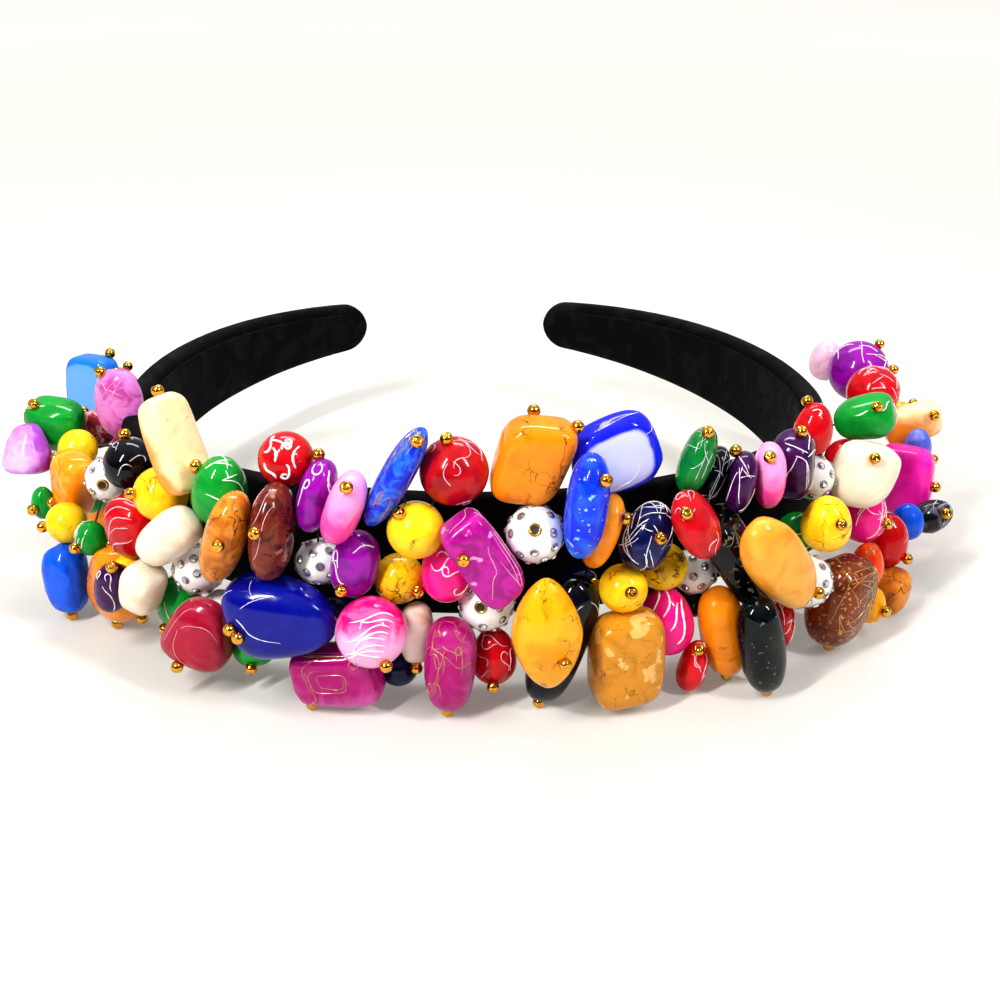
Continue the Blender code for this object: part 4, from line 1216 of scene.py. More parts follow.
def from_arrays(
    name: str, points: np.ndarray, edges: Sequence, faces: Sequence
) -> bpy.types.Object:
    """Makes a smooth-shaded object.

    Args:
        name: its name.
        points: its vertices, in mm.
        edges: pairs of vertices, or none.
        faces: rounds of vertices, or none.

    Returns:
        The object.
    """
    mesh = bpy.data.meshes.new(name)
    mesh.from_pydata((np.asarray(points) * MM).tolist(), edges, faces)
    mesh.shade_smooth()
    mesh.update()
    return new_object(name, mesh)


def stored(mesh: bpy.types.Mesh, name: str, kind: str, values: np.ndarray) -> None:
    """Stores something for each vertex.

    Args:
        mesh: the mesh.
        name: the attribute's name.
        kind: FLOAT or FLOAT_VECTOR.
        values: a value or vector for each vertex.
    """
    made = mesh.attributes.new(name, kind, "POINT")
    field = "value" if kind == "FLOAT" else "vector"
    made.data.foreach_set(field, np.ravel(values).astype(np.float32))


@dataclass
class PackedPlaces:
    """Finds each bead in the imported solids, by its corners.

    A solid bead has so many sides and rings, and a small one in a field has a ring less. Corners
    are looked for within a reach of the bead's goal, matched in cells, and those near the best
    cell count. At least a share of a bead's corners must match.
    """

    own_mesh: tuple[int, int] = (10, 6)
    field_mesh: tuple[int, int] = (10, 5)
    small: float = 11.2
    search: float = 14.0
    cell: float = 0.05
    near: float = 0.06
    least: float = 0.4

    def __post_init__(self) -> None:
        """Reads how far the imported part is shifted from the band's own middle."""
        low, high = (np.array(corner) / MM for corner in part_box("inner_lining"))
        half = COURSE.tip_arc / COURSE.facets
        outer = -COURSE.thick / 2 - COURSE.lining_gap
        front = COURSE.point(half)[1] + COURSE.normal(half)[1] * outer
        self.shift = np.array([(low[0] + high[0]) / 2, low[1] - front, (low[2] + high[2]) / 2])
        self.corners: dict[str, np.ndarray] = {}

    def node_corners(self, node: str) -> np.ndarray:
        """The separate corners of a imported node.

        Args:
            node: its name.

        Returns:
            The corners, in mm.
        """
        if node not in self.corners:
            found = corners_of(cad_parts[node].data)
            self.corners[node] = np.unique(np.round(found, 3), axis=0)
        return self.corners[node]

    def goal(self, bead: Bead) -> np.ndarray:
        """Where a bead was meant to go, before the crowd was settled.

        Args:
            bead: the bead.

        Returns:
            The place of its centre, in mm.
        """
        spot = COURSE.point(bead.arc) + COURSE.normal(bead.arc) * (COURSE.thick / 2 + bead.out)
        return np.array([spot[0], spot[1], bead.rise]) + self.shift

    def find(self, bead: Bead) -> np.ndarray:
        """The bead's centre: the place at which most of its corners match the node's.

        Args:
            bead: the bead to find.

        Returns:
            Its centre in the row frame, in mm.
        """
        goal = self.goal(bead)
        if bead.home is Home.EXTRA:
            return goal
        sides, rings = self.own_mesh
        if bead.home in (Home.LEFT, Home.RIGHT):
            sides, rings = self.field_mesh
            rings -= max(bead.size) <= self.small
        ball = sphere(sides, rings)
        unit = np.array([tuple(corner.co) for corner in ball.verts])
        ball.free()
        template = bead.surface(unit, bead.form.solid, False) @ bead.pose.T
        names = [bead.name] if bead.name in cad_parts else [L.value, R.value]
        corners = np.concatenate([self.node_corners(name) for name in names])
        guesses = (corners[:, None, :] - template[None, :, :]).reshape(-1, 3)
        guesses = guesses[np.linalg.norm(guesses - goal, axis=1) < self.search]
        cells, counts = np.unique(np.round(guesses / self.cell), axis=0, return_counts=True)
        best = cells[counts.argmax()] * self.cell
        close = guesses[np.linalg.norm(guesses - best, axis=1) < self.near]
        if len(close) < self.least * len(template):
            raise ValueError(f"{bead.name} isn't in the packed part: {len(close)} corners match")
        return close.mean(axis=0)


class Grown:
    """Geometry Nodes trees and how they are applied."""

    @staticmethod
    def tree(name: str, inputs: dict[str, Any]) -> tuple[bpy.types.NodeTree, Nodes, Any, Any]:
        """Starts a geometry tree whose first input and only output are geometry.

        Args:
            name: the tree's name.
            inputs: its other inputs, as for new_group.

        Returns:
            What new_group returns.
        """
        inputs = {"Geometry": "Geometry", **inputs}
        return new_group(name, inputs, {"Geometry": "Geometry"}, "GeometryNodeTree")

    @staticmethod
    def apply(obj: bpy.types.Object, tree: bpy.types.NodeTree, values: dict[str, Any]) -> None:
        """Runs a tree on an object and keeps the result as a plain mesh.

        Args:
            obj: the object.
            tree: the tree.
            values: input name to value.
        """
        modifier = obj.modifiers.new(tree.name, "NODES")
        modifier.node_group = tree
        for item in tree.interface.items_tree:
            if item.in_out == "INPUT" and item.name in values:
                modifier[item.identifier] = values[item.name]
        graph = bpy.context.evaluated_depsgraph_get()
        graph.update()
        made = bpy.data.meshes.new_from_object(obj.evaluated_get(graph))
        obj.modifiers.remove(modifier)
        old, obj.data = obj.data, made
        bpy.data.meshes.remove(old)

    @staticmethod
    @built_once
    def seed_beads() -> bpy.types.NodeTree:
        """A drilled seed bead on each point, its hole along the point's outward direction.

        Returns:
            The tree.
        """
        tree, nodes, given, out = Grown.tree(
            "seed_beads", {"Diameter": 2.2 * MM, "Hole": 0.3, "Sides": 16, "Material": "Material"}
        )
        radius = nodes.maths("MULTIPLY", given["Diameter"], 0.5)
        ball = nodes.add(
            "GeometryNodeMeshUVSphere", {"Segments": given["Sides"], "Rings": 12, "Radius": radius}
        )
        place = nodes.add("GeometryNodeInputPosition").outputs[0]
        split = nodes.add("ShaderNodeSeparateXYZ", {0: place})
        height = nodes.maths("DIVIDE", nodes.maths("ABSOLUTE", split.outputs["Z"]), radius)
        sunk = nodes.ramp(height, 0.84, 1.0)
        keep = nodes.maths("SUBTRACT", 1.0, nodes.maths("MULTIPLY", sunk, given["Hole"]))
        level = nodes.maths("MULTIPLY", split.outputs["Z"], keep)
        feeds = {0: split.outputs["X"], 1: split.outputs["Y"], 2: level}
        place = nodes.add("ShaderNodeCombineXYZ", feeds).outputs[0]
        feeds = {"Geometry": ball.outputs["Mesh"], "Position": place}
        drilled = nodes.add("GeometryNodeSetPosition", feeds).outputs[0]
        feeds = {"Vector": Grown.outward(nodes)}
        aimed = nodes.add("FunctionNodeAlignRotationToVector", feeds, axis="Z").outputs[0]
        feeds = {"Points": given["Geometry"], "Instance": drilled, "Rotation": aimed}
        beads = nodes.add("GeometryNodeInstanceOnPoints", feeds)
        Grown.close(nodes, beads.outputs[0], given["Material"], out)
        return tree

    @staticmethod
    def outward(nodes: Nodes) -> bpy.types.NodeSocket:
        """The outward direction stored on each point.

        Args:
            nodes: the tree's nodes.

        Returns:
            The direction's socket.
        """
        node = nodes.add("GeometryNodeInputNamedAttribute", data_type="FLOAT_VECTOR")
        node.inputs["Name"].default_value = "outward"
        return node.outputs["Attribute"]

    @staticmethod
    def close(nodes: Nodes, made: Any, material: Any, out: Any) -> None:
        """Ends a tree: real smooth meshes in one material.

        Args:
            nodes: the tree's nodes.
            made: the geometry to end with.
            material: the material's socket.
            out: the tree's outputs.
        """
        real = nodes.add("GeometryNodeRealizeInstances", {"Geometry": made})
        shade = nodes.add("GeometryNodeSetShadeSmooth", {"Geometry": real.outputs[0]})
        dressed = nodes.add(
            "GeometryNodeSetMaterial", {"Geometry": shade.outputs[0], "Material": material}
        )
        nodes.feed(out["Geometry"], dressed.outputs[0])

    @staticmethod
    @built_once
    def strands() -> bpy.types.NodeTree:
        """A round strand along each line, thicker here and thinner there.

        Returns:
            The tree.
        """
        tree, nodes, given, out = Grown.tree(
            "strands", {"Width": 0.3 * MM, "Unevenness": 0.5, "Sides": 5, "Material": "Material"}
        )
        line = nodes.add("GeometryNodeMeshToCurve", {"Mesh": given["Geometry"]})
        place = nodes.vector("SCALE", nodes.add("GeometryNodeInputPosition").outputs[0], 1.0 / MM)
        lumps = nodes.maths("SUBTRACT", nodes.noise(place, 1.1, 2.0), 0.5)
        uneven = nodes.maths("MULTIPLY", given["Unevenness"], 3.0)
        swell = nodes.maths("MULTIPLY_ADD", lumps, uneven, 1.0)
        taper = nodes.add("GeometryNodeInputNamedAttribute", data_type="FLOAT")
        taper.inputs["Name"].default_value = "taper"
        radius = nodes.maths("MULTIPLY", nodes.maths("MULTIPLY", given["Width"], 0.5), swell)
        radius = nodes.maths("MULTIPLY", radius, taper.outputs["Attribute"])
        feeds = {"Curve": line.outputs[0], "Radius": radius}
        sized = nodes.add("GeometryNodeSetCurveRadius", feeds)
        feeds = {"Resolution": given["Sides"], "Radius": 1.0}
        ring = nodes.add("GeometryNodeCurvePrimitiveCircle", feeds)
        feeds = {"Curve": sized.outputs[0], "Profile Curve": ring.outputs[0], "Fill Caps": True}
        swept = nodes.add("GeometryNodeCurveToMesh", feeds)
        if "Scale" in swept.inputs:
            nodes.feed(swept.inputs["Scale"], nodes.add("GeometryNodeInputRadius").outputs[0])
        Grown.close(nodes, swept.outputs[0], given["Material"], out)
        return tree

    @staticmethod
    @built_once
    def set_stones() -> bpy.types.NodeTree:
        """Facetted stones in seats, grey rings that stand in for their shadows, spread evenly over
        each ball but for its two holes.

        Returns:
            The tree.
        """
        tree, nodes, given, out = Grown.tree(
            "set_stones",
            {"Stones": 32, "Ball Diameter": 10.0 * MM, "Stone Diameter": 1.5 * MM,
             "Bare Pole": 0.82, "Stone Material": "Material", "Shadow Seat Material": "Material"},
        )
        index = nodes.add("GeometryNodeInputIndex").outputs[0]
        step = nodes.maths("DIVIDE", nodes.maths("MULTIPLY_ADD", index, 2.0, 1.0), given["Stones"])
        height = nodes.maths("SUBTRACT", 1.0, step)
        squared = nodes.maths("MULTIPLY", height, height)
        flat = nodes.maths("SQRT", nodes.maths("SUBTRACT", 1.0, squared))
        angle = nodes.maths("MULTIPLY", index, math.pi * (3.0 - math.sqrt(5.0)))
        way = nodes.add(
            "ShaderNodeCombineXYZ",
            {0: nodes.maths("MULTIPLY", flat, nodes.maths("COSINE", angle)),
             1: nodes.maths("MULTIPLY", flat, nodes.maths("SINE", angle)), 2: height},
        ).outputs[0]
        radius = nodes.maths("MULTIPLY", given["Ball Diameter"], 0.5)
        feeds = {"Count": given["Stones"], "Position": nodes.vector("SCALE", way, radius)}
        points = nodes.add("GeometryNodePoints", feeds)
        place = nodes.add("GeometryNodeInputPosition").outputs[0]
        level = nodes.add("ShaderNodeSeparateXYZ", {0: place}).outputs["Z"]
        level = nodes.maths("DIVIDE", nodes.maths("ABSOLUTE", level), radius)
        bare = nodes.maths("GREATER_THAN", level, given["Bare Pole"])
        feeds = {"Geometry": points.outputs[0], "Selection": bare}
        kept = nodes.add("GeometryNodeDeleteGeometry", feeds)
        aimed = nodes.add("FunctionNodeAlignRotationToVector", {"Vector": place}, axis="Z")
        half = nodes.maths("MULTIPLY", given["Stone Diameter"], 0.5)
        parts = []
        # the seat is a grey ring round each stone that stands in for its shadow
        for label, top, bottom, depth, low, sides in (
            ("Stone Material", 0.52, 0.98, 0.42, 0.06, 8),
            ("Shadow Seat Material", 1.02, 1.16, 0.2, -0.06, 12),
        ):
            cone = nodes.add(
                "GeometryNodeMeshCone",
                {"Vertices": sides, "Radius Top": nodes.maths("MULTIPLY", half, top),
                 "Radius Bottom": nodes.maths("MULTIPLY", half, bottom),
                 "Depth": nodes.maths("MULTIPLY", half, depth)},
            )
            lowered = nodes.add("ShaderNodeCombineXYZ", {2: nodes.maths("MULTIPLY", half, low)})
            feeds = {"Geometry": cone.outputs[0], "Translation": lowered.outputs[0]}
            moved = nodes.add("GeometryNodeTransform", feeds)
            facet = nodes.add("GeometryNodeInputIndex").outputs[0]
            copies = nodes.add(
                "GeometryNodeInstanceOnPoints",
                {"Points": kept.outputs[0], "Instance": moved.outputs[0],
                 "Rotation": aimed.outputs[0]},
            )
            real = nodes.add("GeometryNodeRealizeInstances", {"Geometry": copies.outputs[0]})
            numbered = nodes.add(
                "GeometryNodeStoreNamedAttribute",
                {"Geometry": real.outputs[0], "Name": "facet",
                 "Value": nodes.add("ShaderNodeCombineXYZ", {0: facet}).outputs[0]},
                data_type="FLOAT_VECTOR", domain="FACE",
            )
            feeds = {"Geometry": numbered.outputs[0], "Material": given[label]}
            parts.append(nodes.add("GeometryNodeSetMaterial", feeds).outputs[0])
        joined = nodes.add("GeometryNodeJoinGeometry")
        for part in parts:
            tree.links.new(part, joined.inputs[0])
        flat_shaded = nodes.add(
            "GeometryNodeSetShadeSmooth", {"Geometry": joined.outputs[0], "Shade Smooth": False}
        )
        nodes.feed(out["Geometry"], flat_shaded.outputs[0])
        return tree


@dataclass
class BeadCrowd:
    """All the beads, each polished, and the seed beads, stones and lines on them.

    The eyelet's profile is its reach from the hole's middle and its rise over the ball. A seed
    bead stands off its bead by a share of its own size, and the one under a foot is found in what
    is lower than another share of it. A thread goes to the band where that is within its reach,
    and else to a bead that is nearer the band by at least its gain.
    """

    places: PackedPlaces
    sides: int = 56
    rings: int = 36
    seed_size: float = 2.4
    seed_off: float = 0.32
    foot_way: tuple[float, float, float] = (0.25, -0.9, -0.35)
    foot_top: float = 0.7
    slide: float = 40.0
    stone_size: float = 1.5
    stone_gap: float = 3.1
    stone_packing: float = 0.87
    eyelet: tuple[Spot, ...] = (
        (1.25, -0.1), (1.2, 0.16), (1.0, 0.24), (0.8, 0.14), (0.7, 0.06), (0.0, 0.03)
    )
    eyelet_sides: int = 20
    # painted shade: the inner rings of each eyelet, dark for the hole
    hole_rings: int = 2
    line_points: int = 24
    line_rise: float = 0.12
    thread: float = 0.45
    thread_reach: float = 11.0
    thread_gain: float = 0.5
    thread_points: int = 6
    thread_inset: float = 3.0
    thread_sink: float = 0.4
    foot_arcs: int = 1289

    def __post_init__(self) -> None:
        """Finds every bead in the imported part."""
        self.centres = {bead.name: self.places.find(bead) for bead in BEADS}

    def build(self) -> list[bpy.types.Object]:
        """Makes and dresses every piece of the crowd.

        Returns:
            The pieces, each riding on the root body.
        """
        pieces = [self.bead(bead) for bead in BEADS]
        for bead in BEADS:
            if bead.stoned:
                pieces.append(self.stones(bead))
        pieces.append(self.eyelets())
        pieces.append(self.seeds())
        pieces += self.drizzles()
        pieces.append(self.threads())
        for piece in pieces:
            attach(piece, BODY)
        self.stand_in(pieces)
        return pieces

    def bead(self, bead: Bead) -> bpy.types.Object:
        """Makes one smooth bead in its place.

        Args:
            bead: its row of the table.

        Returns:
            The polished bead.
        """
        ball = sphere(self.sides, self.rings)
        unit = np.array([tuple(corner.co) for corner in ball.verts])
        own = bead.surface(unit, bead.form.shown, True)
        placed = own @ bead.pose.T + self.centres[bead.name]
        placed[:, 2] -= min(placed[:, 2].min(), 0.0)
        for corner, point in zip(ball.verts, placed):
            corner.co = point * MM
        mesh = bpy.data.meshes.new(bead.name + "_polished")
        ball.to_mesh(mesh)
        ball.free()
        mesh.shade_smooth()
        random = np.random.default_rng(bead.seed)
        moved = random.uniform(-self.slide, self.slide, 3) * self.moved(bead)
        stored(mesh, "bead_place", "FLOAT_VECTOR", own + moved)
        along, across, through = bead.size
        stored(mesh, "bead_share", "FLOAT_VECTOR", own / [across / 2, along / 2, through / 2])
        mesh.materials.append(bead.finish.dress(bead.name + "_resin"))
        return new_object(bead.name + "_polished", mesh)

    @staticmethod
    def moved(bead: Bead) -> float:
        """How far a pattern may slide from bead to bead: not where a fade is tied to the bead."""
        return 0.0 if any(bead.finish.fade) else 1.0

    def hole_pose(self, bead: Bead) -> np.ndarray:
        """Axes for a stoned ball.

        Args:
            bead: the ball.

        Returns:
            The axes, as columns, the last along its drilled hole.
        """
        along = bead.spot(*bead.seeds[0])[1] if bead.seeds else bead.pose[:, 0]
        side = np.cross(along, [0.31, 0.52, 0.8])
        side /= np.linalg.norm(side)
        return np.stack([side, np.cross(along, side), along], -1)

    def stones(self, bead: Bead) -> bpy.types.Object:
        """Sets clear stones over a ball.

        Args:
            bead: the ball.

        Returns:
            The stones and their seats, grey rings that stand in for the shadows round the stones.
        """
        diameter = bead.size[0]
        obj = from_arrays(bead.name + "_stones", np.zeros((1, 3)), [], [])
        count = round(math.pi * (diameter / self.stone_gap) ** 2 / self.stone_packing)
        Grown.apply(
            obj, Grown.set_stones(),
            {"Stones": count, "Ball Diameter": diameter * MM,
             "Stone Diameter": self.stone_size * MM,
             "Stone Material": self.material("facetted_stone", STONE),
             "Shadow Seat Material": self.material("stone_shadow_seat", SHADOW_SEAT)},
        )
        turned = Matrix(self.hole_pose(bead).tolist()).to_4x4()
        obj.data.transform(Matrix.Translation(self.centres[bead.name] * MM) @ turned)
        return obj

    @staticmethod
    def material(name: str, finish: Any) -> bpy.types.Material:
        """The material of that name, which its finish builds when it is first asked for."""
        return bpy.data.materials.get(name) or finish.dress(name)

    def eyelets(self) -> bpy.types.Object:
        """Lines the holes of the stoned balls with brass, at both ends, each closed in the middle by
        a dark cap that is painted shade for the hole.

        Returns:
            All the eyelets, in one piece.
        """
        points, faces, sides = [], [], self.eyelet_sides
        for bead in BEADS:
            if not bead.stoned:
                continue
            axes, radius = self.hole_pose(bead), bead.size[0] / 2
            for end in (1.0, -1.0):
                first = len(points)
                for reach, rise in self.eyelet:
                    for side in range(sides):
                        turn = end * 2 * math.pi * side / sides
                        lift = math.sqrt(radius**2 - reach**2) + rise
                        own = np.array([reach * math.cos(turn), reach * math.sin(turn), end * lift])
                        points.append(axes @ own + self.centres[bead.name])
                for ring in range(len(self.eyelet) - 1):
                    for side in range(sides):
                        after = (side + 1) % sides
                        a, b = first + ring * sides + side, first + ring * sides + after
                        faces.append((a, b, b + sides, a + sides))
        obj = from_arrays("ball_eyelets", np.array(points), [], faces)
        # painted shade: the inner rings close the hole and take the dark hole material
        rings = np.arange(len(faces)) // sides % (len(self.eyelet) - 1)
        inside = rings >= len(self.eyelet) - 1 - self.hole_rings
        obj.data.polygons.foreach_set("material_index", inside.astype(np.int32))
        mesh = bmesh.new()
        mesh.from_mesh(obj.data)
        bmesh.ops.remove_doubles(mesh, verts=mesh.verts, dist=1e-6)
        mesh.to_mesh(obj.data)
        mesh.free()
        obj.data.materials.append(self.material("brass_eyelet", BRASS))
        obj.data.materials.append(self.material("eyelet_hole_shade", HOLE_SHADE))
        return obj

    def seeds(self) -> bpy.types.Object:
        """Closes the threads with gold seed beads.

        Returns:
            All the seed beads, in one piece.
        """
        points, ways = [], []
        for bead in BEADS:
            if bead.home is Home.FOOT:
                found = self.places.node_corners(bead.name)
                foot = found[found[:, 2] < self.seed_size * self.foot_top]
                middle = (foot.min(axis=0) + foot.max(axis=0)) / 2
                points.append([middle[0], middle[1], self.seed_size / 2 + 0.01])
                ways.append(self.foot_way)
            if bead.stoned:
                continue
            for spot in bead.seeds:
                point, way = bead.spot(*spot)
                stood = way * self.seed_size * self.seed_off
                points.append(point + stood + self.centres[bead.name])
                ways.append(way)
        obj = from_arrays("seed_beads", np.array(points), [], [])
        stored(obj.data, "outward", "FLOAT_VECTOR", np.array(ways))
        Grown.apply(
            obj, Grown.seed_beads(),
            {"Diameter": self.seed_size * MM, "Material": self.material("gold_seed", GOLD)},
        )
        return obj

    def drizzles(self) -> list[bpy.types.Object]:
        """Draws the lacquer lines over the beads.

        Returns:
            One piece for each colour and width.
        """
        batches: dict[tuple[Paint, float], list[np.ndarray]] = {}
        for bead in BEADS:
            if bead.lines:
                key = (bead.lines.paint, round(bead.lines.width, 2))
                batches.setdefault(key, []).extend(self.strokes(bead))
        pieces = []
        for (tint, width), paths in batches.items():
            name = f"lines_{tint.name.lower()}_{round(width * 100)}"
            obj = self.polylines(name, paths)
            finish = Shiny(tint.value, 0.12, metal=0.6 if tint is Paint.GOLD else 0.0, coat=0.6)
            material = self.material("line_" + tint.name.lower(), finish)
            Grown.apply(obj, Grown.strands(), {"Width": width * MM, "Material": material})
            pieces.append(obj)
        return pieces

    @staticmethod
    def polylines(name: str, paths: Sequence[np.ndarray]) -> bpy.types.Object:
        """Makes an object of open lines, each thinner towards its ends.

        Args:
            name: its name.
            paths: the points of each line.

        Returns:
            The object, of edges only.
        """
        edges, tapers, count = [], [], 0
        for path in paths:
            edges += [(count + step, count + step + 1) for step in range(len(path) - 1)]
            tapers.append(0.35 + 0.65 * np.sin(np.linspace(0, math.pi, len(path))) ** 0.4)
            count += len(path)
        obj = from_arrays(name, np.concatenate(paths), edges, [])
        stored(obj.data, "taper", "FLOAT", np.concatenate(tapers))
        return obj

    def strokes(self, bead: Bead) -> list[np.ndarray]:
        """Where the lines run over one bead.

        Args:
            bead: the bead, with its lines.

        Returns:
            One run of points for each line, in the row frame.
        """
        lines, count = bead.lines, self.line_points
        bend, stir, aside = lines.stroke.value
        random = np.random.default_rng(bead.seed + 7)
        facing = frame_at(bead.arc) @ np.array([0.0, 0.55, 0.83])
        own = facing @ bead.pose
        facing = np.array([own[0], -own[2], own[1]])
        facing /= np.linalg.norm(facing)
        across = np.cross(facing, random.normal(size=3))
        across /= np.linalg.norm(across)
        paths = []
        for index in range(lines.count):
            if aside:
                share = (index + 0.5) / lines.count * 2 - 1
                tip = share * math.radians(lines.spread)
                heading = np.cross(facing, across)
                start = facing * math.cos(tip) + across * math.sin(tip)
                start = start - heading * 0.6 * math.radians(lines.reach) * random.uniform(0.6, 1.0)
                curl = np.full(count, bend * 0.6) + stir * np.sin(np.linspace(0, 5, count) + share)
            else:
                tip = math.radians(lines.spread) * math.sqrt(random.uniform())
                turn = random.uniform(0, 2 * math.pi)
                side = np.cross(facing, across)
                start = facing * math.cos(tip) + math.sin(tip) * (
                    across * math.cos(turn) + side * math.sin(turn)
                )
                heading = random.normal(size=3)
                curl = random.normal() * bend + stir * np.sin(
                    np.linspace(0, random.uniform(2, 7), count) + random.uniform(0, 6)
                )
            start = start / np.linalg.norm(start)
            step = math.radians(lines.reach) * random.uniform(0.5, 1.2) / count
            if not aside:
                start = start - np.cross(np.cross(start, heading), start) * 0.2
            paths.append(self.walk(start, heading, curl * step, step))
        made = []
        for path in paths:
            point, way = bead.spots(path)
            made.append(point + way * lines.width * self.line_rise + self.centres[bead.name])
        return made

    @staticmethod
    def walk(start: np.ndarray, heading: np.ndarray, curls: np.ndarray, step: float) -> np.ndarray:
        """Walks over the unit sphere.

        Args:
            start: where it starts.
            heading: which way it goes first.
            curls: how far it turns at each step.
            step: how long each step is.

        Returns:
            The points that it passes.
        """
        here = start / np.linalg.norm(start)
        path = [here]
        for curl in curls:
            heading = heading - here * (heading @ here)
            heading /= np.linalg.norm(heading)
            heading = heading * math.cos(curl) + np.cross(here, heading) * math.sin(curl)
            here = here + heading * step
            here /= np.linalg.norm(here)
            path.append(here)
        return np.array(path)

    def threads(self) -> bpy.types.Object:
        """Ties every bead to one nearer the band, or to the band's face where that is near.

        Returns:
            The black sewing threads, in one piece.
        """
        feet = {bead.name: self.foot(self.centres[bead.name]) for bead in BEADS}
        stand = {name: np.linalg.norm(self.centres[name] - foot) for name, foot in feet.items()}
        paths = []
        for bead in BEADS:
            centre, end = self.centres[bead.name], feet[bead.name]
            best = stand[bead.name] if stand[bead.name] < self.thread_reach else math.inf
            for other in BEADS:
                reach = np.linalg.norm(self.centres[other.name] - centre)
                if stand[other.name] < stand[bead.name] - self.thread_gain and reach < best:
                    end, best = self.centres[other.name], reach
            paths.append(np.linspace(centre, end, self.thread_points))
        obj = self.polylines("sewing_threads", paths)
        Grown.apply(
            obj, Grown.strands(),
            {"Width": self.thread * MM, "Unevenness": 0.1,
             "Material": self.material("black_thread", THREAD)},
        )
        return obj

    def foot(self, centre: np.ndarray) -> np.ndarray:
        """Finds where a thread meets the band.

        Args:
            centre: the bead's centre.

        Returns:
            The place on the band's face nearest to it.
        """
        plan = centre[:2] - self.places.shift[:2]
        arcs = np.linspace(-COURSE.tip_arc, COURSE.tip_arc, self.foot_arcs)
        arc = arcs[np.linalg.norm(COURSE.point(arcs) - plan, axis=1).argmin()]
        edge = COURSE.width(arc) / 2 - self.thread_inset
        face = COURSE.point(arc) + COURSE.normal(arc) * (COURSE.thick / 2 - self.thread_sink)
        rise = np.clip(centre[2] - self.places.shift[2], -edge, edge)
        return np.array([face[0], face[1], rise]) + self.places.shift

    @staticmethod
    def stand_in(pieces: Sequence[bpy.types.Object]) -> None:
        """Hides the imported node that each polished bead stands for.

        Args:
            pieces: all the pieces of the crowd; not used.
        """
        for bead in BEADS:
            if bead.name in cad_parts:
                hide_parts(bead.name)
            elif bead.home in (Home.LEFT, Home.RIGHT):
                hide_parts(bead.home.value)


